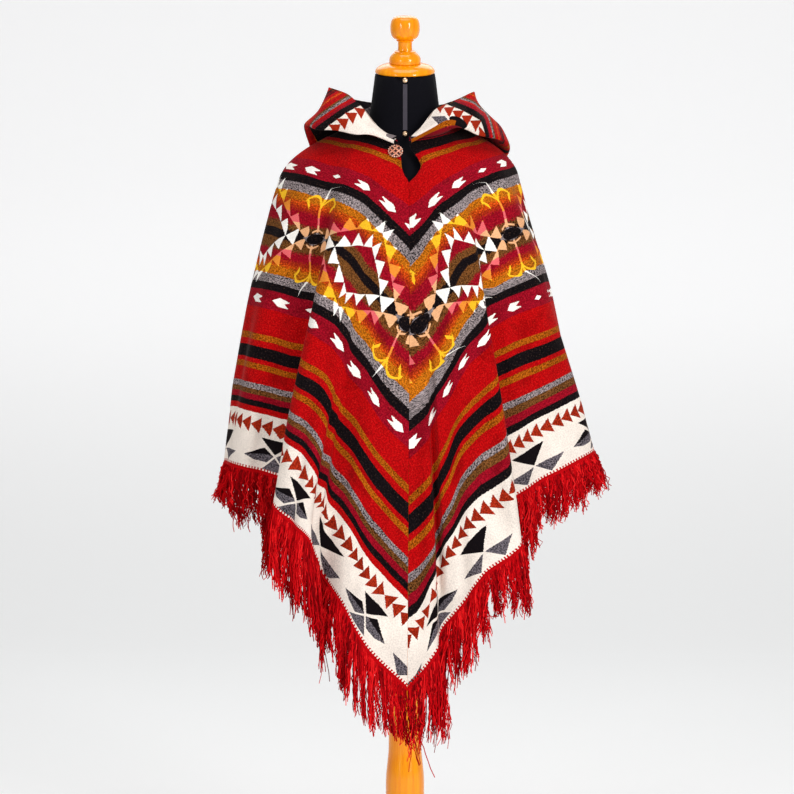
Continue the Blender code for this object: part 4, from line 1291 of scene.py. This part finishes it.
fringe_finish = fringe_yarn()

# %% Tie in the fringe
chance = np.random.default_rng(41)
fringes = {}
for which in ("left", "right"):
    grid = panel_grids[which]
    made = []   # points, faces and tones of each layer of yarn, and of the roll
    for _ in range(YARN_LAYERS):
        path, tone, share = fringe_paths(grid, chance, which)
        radii = YARN_RADIUS * chance.uniform(0.8, 1.15, len(path))[:, None] * (1 - 0.25 * share)
        made.append((*tubes(path, radii, YARN_SIDES), np.repeat(tone, YARN_RINGS * YARN_SIDES)))
    roll, shapes = tubes((grid[0] - UP * ROLL_DROP)[None], np.full((1, grid.shape[1]), HEM_ROLL),
                         HEM_ROLL_SIDES)
    made.append((roll, shapes, np.full(len(roll), ROLL_TONE)))
    faces, first = [], 0
    for points, shapes, _ in made:
        faces += [tuple(i + first for i in shape) for shape in shapes]
        first += len(points)
    fringes[which] = piece("poncho_fringe_" + which, np.vstack([row[0] for row in made]), faces,
                           fringe_finish, "fringe", "fringe_" + which, smooth_under=80)
    keep_attribute(fringes[which], "tone", "FLOAT", np.concatenate([row[2] for row in made]))

# %% [markdown]
# ## Turned wood
#
# The cap, the finial, the post and the base are turned on a lathe. By hand the quickest
# lathe in Blender is one filled circle: it is extruded up a little and scaled, again and
# again, down the rows of a profile. Grooves and beads are only rows set close together.

# %% A lathe
def turn_on_lathe(name, profile, sides):
    """A solid of circles stacked up the profile, each extruded from the one below.

    settle sets the lowest circle on the place it is given, whatever its height in the profile.
    """
    low, radius = profile[0]
    bpy.ops.object.select_all(action="DESELECT")
    bpy.ops.mesh.primitive_circle_add(vertices=sides, radius=radius, fill_type="NGON",
                                      location=(0, 0, low))
    obj = fresh(name)
    with editing(obj):
        for (below, wide), (height, across) in zip(profile, profile[1:]):
            bpy.ops.mesh.extrude_region_move(
                TRANSFORM_OT_translate={"value": (0, 0, height - below)})
            bpy.ops.transform.resize(value=(across / wide, across / wide, 1),
                                     center_override=(0, 0, height))
        bpy.ops.mesh.select_all(action="SELECT")
        bpy.ops.mesh.normals_make_consistent(inside=False)
    return obj


def settle(obj, place, turn, finish, slot, *nodes, smooth_under=30):
    lone(obj)
    obj.location, obj.rotation_euler = Vector(place) - Vector(MIDDLE), turn
    bpy.ops.object.transform_apply(location=True, rotation=True, scale=True)
    bpy.ops.object.shade_smooth_by_angle(angle=math.radians(smooth_under))
    obj.data.materials.clear()
    obj.data.materials.append(finish)
    print(obj.name, "has", len(obj.data.polygons), "faces")
    return declare(obj, slot, *nodes)


# %% Varnished wood
def varnished_wood():
    finish = Finish("varnished_wood")
    place = finish.object_place()
    drift = finish.noise(finish.stretched(place, 9.0, 9.0, 1.6), 1.0, 2.0)
    across = finish.stretched(place, 150.0, 150.0, 5.0, (0.05, 0.02, 0))
    grain = finish.noise(across, 1.0, 5.0, 0.62)
    pores = finish.noise(finish.stretched(place, 620.0, 620.0, 22.0), 1.0, 2.0)
    figure = 0.62 * grain + 0.38 * drift
    colour = finish.ramp(figure, ((0.28, dye(226, 118, 0)), (0.46, dye(248, 146, 0)),
                                  (0.60, dye(255, 166, 0)), (0.80, dye(255, 184, 0))))
    colour = finish.blend(pores.soft(0.60, 0.74, 0.0, 0.12), colour, dye(168, 66, 2))
    return finish.done(colour, 0.34 + 0.14 * grain, 0.7 * grain + 0.3 * pores, 0.03, 0.0003,
                       Coat_Weight=0.8, Coat_Roughness=0.12, Specular_IOR_Level=0.04)


wood = varnished_wood()

# %% Cap, finial, post and base
CAP_SLANT = math.radians(17)
FORM_TOP = 1.486
NECK_CAP = ((0.0000, 0.0538), (0.0006, 0.0550), (0.0020, 0.0556), (0.0040, 0.0553),
            (0.0065, 0.0540), (0.0090, 0.0517), (0.0115, 0.0484), (0.0135, 0.0446),
            (0.0150, 0.0404), (0.0161, 0.0362), (0.0168, 0.0330), (0.0170, 0.0310))
FINIAL = ((0.0000, 0.0284), (0.0008, 0.0291), (0.0022, 0.0293), (0.0082, 0.0291),
          (0.0108, 0.0284), (0.0132, 0.0270), (0.0162, 0.0246), (0.0186, 0.0222),
          (0.0200, 0.0204), (0.0206, 0.0195), (0.0213, 0.0199), (0.0221, 0.0197),
          (0.0227, 0.0186), (0.0233, 0.0152), (0.0242, 0.0139), (0.0262, 0.0132),
          (0.0335, 0.0129), (0.0396, 0.0132), (0.0406, 0.0142), (0.0413, 0.0157),
          (0.0422, 0.0163), (0.0431, 0.0158), (0.0437, 0.0150), (0.0443, 0.0167),
          (0.0456, 0.0200), (0.0478, 0.0228), (0.0512, 0.0250), (0.0562, 0.0265),
          (0.0620, 0.0272), (0.0674, 0.0272), (0.0726, 0.0266), (0.0770, 0.0255),
          (0.0804, 0.0240), (0.0830, 0.0219), (0.0848, 0.0191), (0.0858, 0.0156),
          (0.0864, 0.0112), (0.0867, 0.0050))
POST = ((0.0265, 0.0478), (0.0272, 0.0486), (0.0340, 0.0490), (0.0384, 0.0470),
        (0.0420, 0.0430), (0.0432, 0.0405), (0.0446, 0.0404), (0.0460, 0.0412),
        (0.0530, 0.0388), (0.0600, 0.0375), (0.0900, 0.0360), (0.1200, 0.0355),
        (0.2040, 0.0355), (0.2150, 0.0350), (0.2250, 0.0340), (0.2420, 0.0322),
        (0.2600, 0.0305), (0.3600, 0.0294), (0.5000, 0.0290), (0.7897, 0.0290))
BASE = ((0.0000, 0.1720), (0.0006, 0.1765), (0.0020, 0.1790), (0.0060, 0.1798),
        (0.0100, 0.1800), (0.0150, 0.1794), (0.0180, 0.1778), (0.0206, 0.1745),
        (0.0230, 0.1700), (0.0240, 0.1680), (0.0246, 0.1672), (0.0252, 0.1660),
        (0.0258, 0.1600), (0.0262, 0.1500))
lean = Vector((0, -math.sin(CAP_SLANT), math.cos(CAP_SLANT)))
neck_top = Vector((0, 0, FORM_TOP)) + lean * SEAM
settle(turn_on_lathe("wood_cap", NECK_CAP, 72), neck_top, (CAP_SLANT, 0, 0), wood, "wood",
       "neck_cap")
settle(turn_on_lathe("wood_finial", FINIAL, 56), neck_top + lean * (NECK_CAP[-1][0] + SEAM),
       (CAP_SLANT, 0, 0), wood, "wood", "finial")
settle(turn_on_lathe("wood_post", POST, 56), (0, 0, 0), (0, 0, 0), wood, "wood", "post")
settle(turn_on_lathe("wood_base", BASE, 96), (0, 0, 0), (0, 0, 0), wood, "wood", "base")

# %% [markdown]
# ## The dress form
#
# The form's plain solid already has the right shape, only in flat facets. Its mesh is
# copied, its loose triangles are merged, and a subdivision surface rounds them, as a fitted
# jersey cover would. The cover is a fine knit: ribs that run up the form, nearly black.

# %% Jersey cover
def jersey():
    finish = Finish("black_jersey")
    place = finish.object_place()
    across, _, up = finish.axes(place)
    lint = finish.noise(place, 240.0, 3.0, 0.7)
    cloud = finish.noise(place, 12.0, 2.0)
    rib = (across * 2600).wave()
    ribs = rib * 0.5 + (up * 2100 + rib).wave() * 0.5
    colour = finish.blend(0.35 * cloud + lint.soft(0.55, 0.85, 0.0, 0.5),
                          dye(2, 2, 7), dye(14, 12, 24))
    return finish.done(colour, 0.78 + 0.15 * lint, 0.3 * ribs + lint, 0.4, 0.0006,
                       Specular_IOR_Level=0.12, Sheen_Weight=0.04, Sheen_Roughness=0.4)


def smooth_copy(node, name, levels):
    """A merged and rounded copy of a plain solid, as a piece of its own."""
    obj = placed(name, frame["nodes"][node].data.copy())
    obj.data.name = name
    with editing(obj):
        bpy.ops.mesh.remove_doubles(threshold=1e-5)
        bpy.ops.mesh.tris_convert_to_quads()
        bpy.ops.mesh.normals_make_consistent(inside=False)
        bpy.ops.mesh.customdata_custom_splitnormals_clear()
    rounder = obj.modifiers.new("rounded", "SUBSURF")
    rounder.levels = rounder.render_levels = levels
    bpy.ops.object.modifier_apply(modifier=rounder.name)
    return obj


settle(smooth_copy("form_body", "dress_form_cover", 1), MIDDLE, (0, 0, 0), jersey(),
       "form_cover", "form_body", smooth_under=60)

# %% [markdown]
# ## Tape, tacks and button
#
# The tape down the neck stays as the plain solid, which is already a fine strip; it only
# gets its corded weave. Each tack is half of a sphere, flattened to a dome. The button is a
# dark turned disc. Eighteen half beads, all copied from one, stand round its rim, and two
# bars each way cross its face, over and under.

# %% Corded tape
def corded_tape():
    finish = Finish("grey_tape")
    place = finish.object_place()
    cords = (finish.axes(place)[2] * 3140).wave()
    fuzz = finish.noise(place, 700.0, 2.0)
    colour = finish.blend(0.5 * fuzz + 0.25 * cords + 0.25, dye(46, 42, 50), dye(82, 77, 86))
    return finish.done(colour, 0.6 + 0.2 * fuzz, cords + fuzz, 0.5, 0.0004,
                       Specular_IOR_Level=0.2)


tape_node = frame["nodes"]["neck_tape"]
tape_node.material_slots[0].material = corded_tape()


# %% Brass tacks
def brass():
    finish = Finish("brass")
    place = finish.object_place()
    tarnish = finish.noise(place, 500.0, 3.0)
    colour = finish.blend(tarnish.soft(0.4, 0.7), dye(244, 214, 178), dye(186, 134, 92))
    return finish.done(colour, 0.22 + 0.25 * tarnish, tarnish, 0.15, 0.0002, Metallic=1.0)


brass_finish = brass()
for node, name in (("tack_upper", "brass_tack_upper"), ("tack_lower", "brass_tack_lower")):
    low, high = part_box(node)
    middle, size = (low + high) / 2, high - low
    bpy.ops.object.select_all(action="DESELECT")
    bpy.ops.mesh.primitive_uv_sphere_add(segments=32, ring_count=18, radius=0.5)
    tack = fresh(name)
    with editing(tack):
        bpy.ops.mesh.bisect(plane_co=(0, 0, 0), plane_no=(0, 1, 0), use_fill=True,
                            clear_outer=True)
    tack.scale = (size.x, 2 * size.y, size.z)
    bpy.ops.object.transform_apply(location=False, rotation=False, scale=True)
    settle(tack, Vector((middle.x, high.y, middle.z)) + Vector(MIDDLE), (0, 0, 0),
           brass_finish, "tacks", node, smooth_under=60)


# %% Lattice button
def copper_wood(name, pale):
    """Copper-brown polished wood; the beads of the rim are paler and pinker."""
    finish = Finish(name)
    place = finish.object_place()
    spots = finish.noise(place, 620.0, 3.0, 0.7)
    veins = finish.noise(finish.stretched(place, 900.0, 300.0, 500.0, (0, 0.6, 0)), 1.0, 2.0)
    middle = ((206, 116, 84), (252, 216, 196)) if pale else ((190, 88, 44), (250, 190, 156))
    colour = finish.ramp(0.55 * spots + 0.45 * veins, (
        (0.34, dye(120, 44, 24)), (0.46, dye(*middle[0])), (0.58, dye(*middle[1])),
        (0.70, dye(255, 240, 228))))
    return finish.done(colour, 0.28 + 0.3 * spots, spots + veins, 0.25, 0.0003,
                       Coat_Weight=0.5, Coat_Roughness=0.15)


def dark_wood():
    finish = Finish("button_ground")
    grain = finish.noise(finish.object_place(), 500.0, 3.0)
    return finish.done(finish.blend(grain, dye(26, 8, 8), dye(78, 26, 16)), 0.4 + 0.2 * grain,
                       grain, 0.3, 0.0003)


RIM_PROFILE = ((0.0000, 0.0120), (0.0004, 0.0130), (0.0012, 0.0134), (0.0020, 0.0133),
               (0.0026, 0.0124), (0.0026, 0.0112), (0.0018, 0.0108))
BEADS, BEAD_AT, BEAD_SIZE = 18, 0.01235, 0.00325
BEAD_UP, BEAD_CUT, BEAD_DRAWN = 0.0027, -0.0004, (0.92, 1.16, 1.0)
BARS, BAR_PITCH, BAR_RADIUS, BAR_UP, BAR_DIP = 2, 0.0078, 0.0015, 0.0032, 0.0007
FACE_RADIUS = 0.0108

near = panel_grid(LEFT_FOLDS, -1, np.array([0.80, 0.86, 0.92, 1.0]), (0.665, 0.676, 0.687))
facing = Vector(outward(near)[1, 1])
facing = facing if facing.y < 0 else -facing
button_at = Vector(near[1, 1]) + facing * (CLOTH / 2 + SEAM)
button_turn = facing.to_track_quat("Z", "Y").to_euler()


def joined(parts, name):
    """Several small pieces made into one."""
    lone(parts[0])
    for part in parts:
        part.select_set(True)
    bpy.ops.object.join()
    parts[0].name = parts[0].data.name = name
    return parts[0]


settle(turn_on_lathe("button_rim", RIM_PROFILE, 48), button_at, button_turn, dark_wood(),
       "button", "button", smooth_under=60)
# one bead: the upper half of a small ball, drawn out a little along the rim
bpy.ops.object.select_all(action="DESELECT")
bpy.ops.mesh.primitive_uv_sphere_add(segments=12, ring_count=8, radius=BEAD_SIZE / 2)
bead = fresh("bead")
with editing(bead):
    bpy.ops.mesh.bisect(plane_co=(0, 0, BEAD_CUT), plane_no=(0, 0, 1), use_fill=True,
                        clear_inner=True)
    bpy.ops.mesh.select_all(action="SELECT")
    bpy.ops.transform.resize(value=BEAD_DRAWN, center_override=(0, 0, 0))
beads = []
for k in range(BEADS):
    copy = placed("bead", bead.data.copy())
    turn = 2 * math.pi * k / BEADS
    copy.location = (BEAD_AT * math.cos(turn), BEAD_AT * math.sin(turn), BEAD_UP)
    copy.rotation_euler = (0, 0, turn)
    lone(copy)
    bpy.ops.object.transform_apply(location=True, rotation=True, scale=True)
    beads.append(copy)
bpy.data.objects.remove(bead)
settle(joined(beads, "button_beads"), button_at, button_turn, copper_wood("button_bead", True),
       "button", smooth_under=60)


# %% Lattice of the button
bars = []
for way in range(2):
    for k in range(BARS):
        offset = (k - (BARS - 1) / 2) * BAR_PITCH
        half = math.sqrt(FACE_RADIUS ** 2 - offset ** 2)
        bpy.ops.object.select_all(action="DESELECT")
        bpy.ops.mesh.primitive_cylinder_add(
            vertices=10, radius=BAR_RADIUS, depth=2 * half,
            location=(offset, 0, BAR_UP) if way else (0, offset, BAR_UP),
            rotation=(math.pi / 2, 0, 0) if way else (0, math.pi / 2, 0))
        bar = fresh("bar")
        with editing(bar):
            bpy.ops.mesh.subdivide(number_cuts=6)
        bpy.ops.object.transform_apply(location=True, rotation=True, scale=True)
        # the bars go over and under: each point rises or dips with its place
        for point in bar.data.vertices:
            run = point.co.y if way else point.co.x
            point.co.z += BAR_DIP * math.cos(math.pi * (run / BAR_PITCH + k + way))
        bars.append(bar)
lattice = joined(bars, "button_lattice")
lattice.rotation_euler = (0, 0, math.radians(45))
bpy.ops.object.transform_apply(location=False, rotation=True, scale=False)
settle(lattice, button_at, button_turn, copper_wood("button_bars", False), "button",
       smooth_under=60)

# %% [markdown]
# ## The blanks of the cloth
#
# A panel's blank is 1.64 m by 0.70 m with slanted ends; the hood halves are smaller. The loop below
# only spells out each panel's name.

for which in ("left", "right"):
    "poncho_panel_" + which
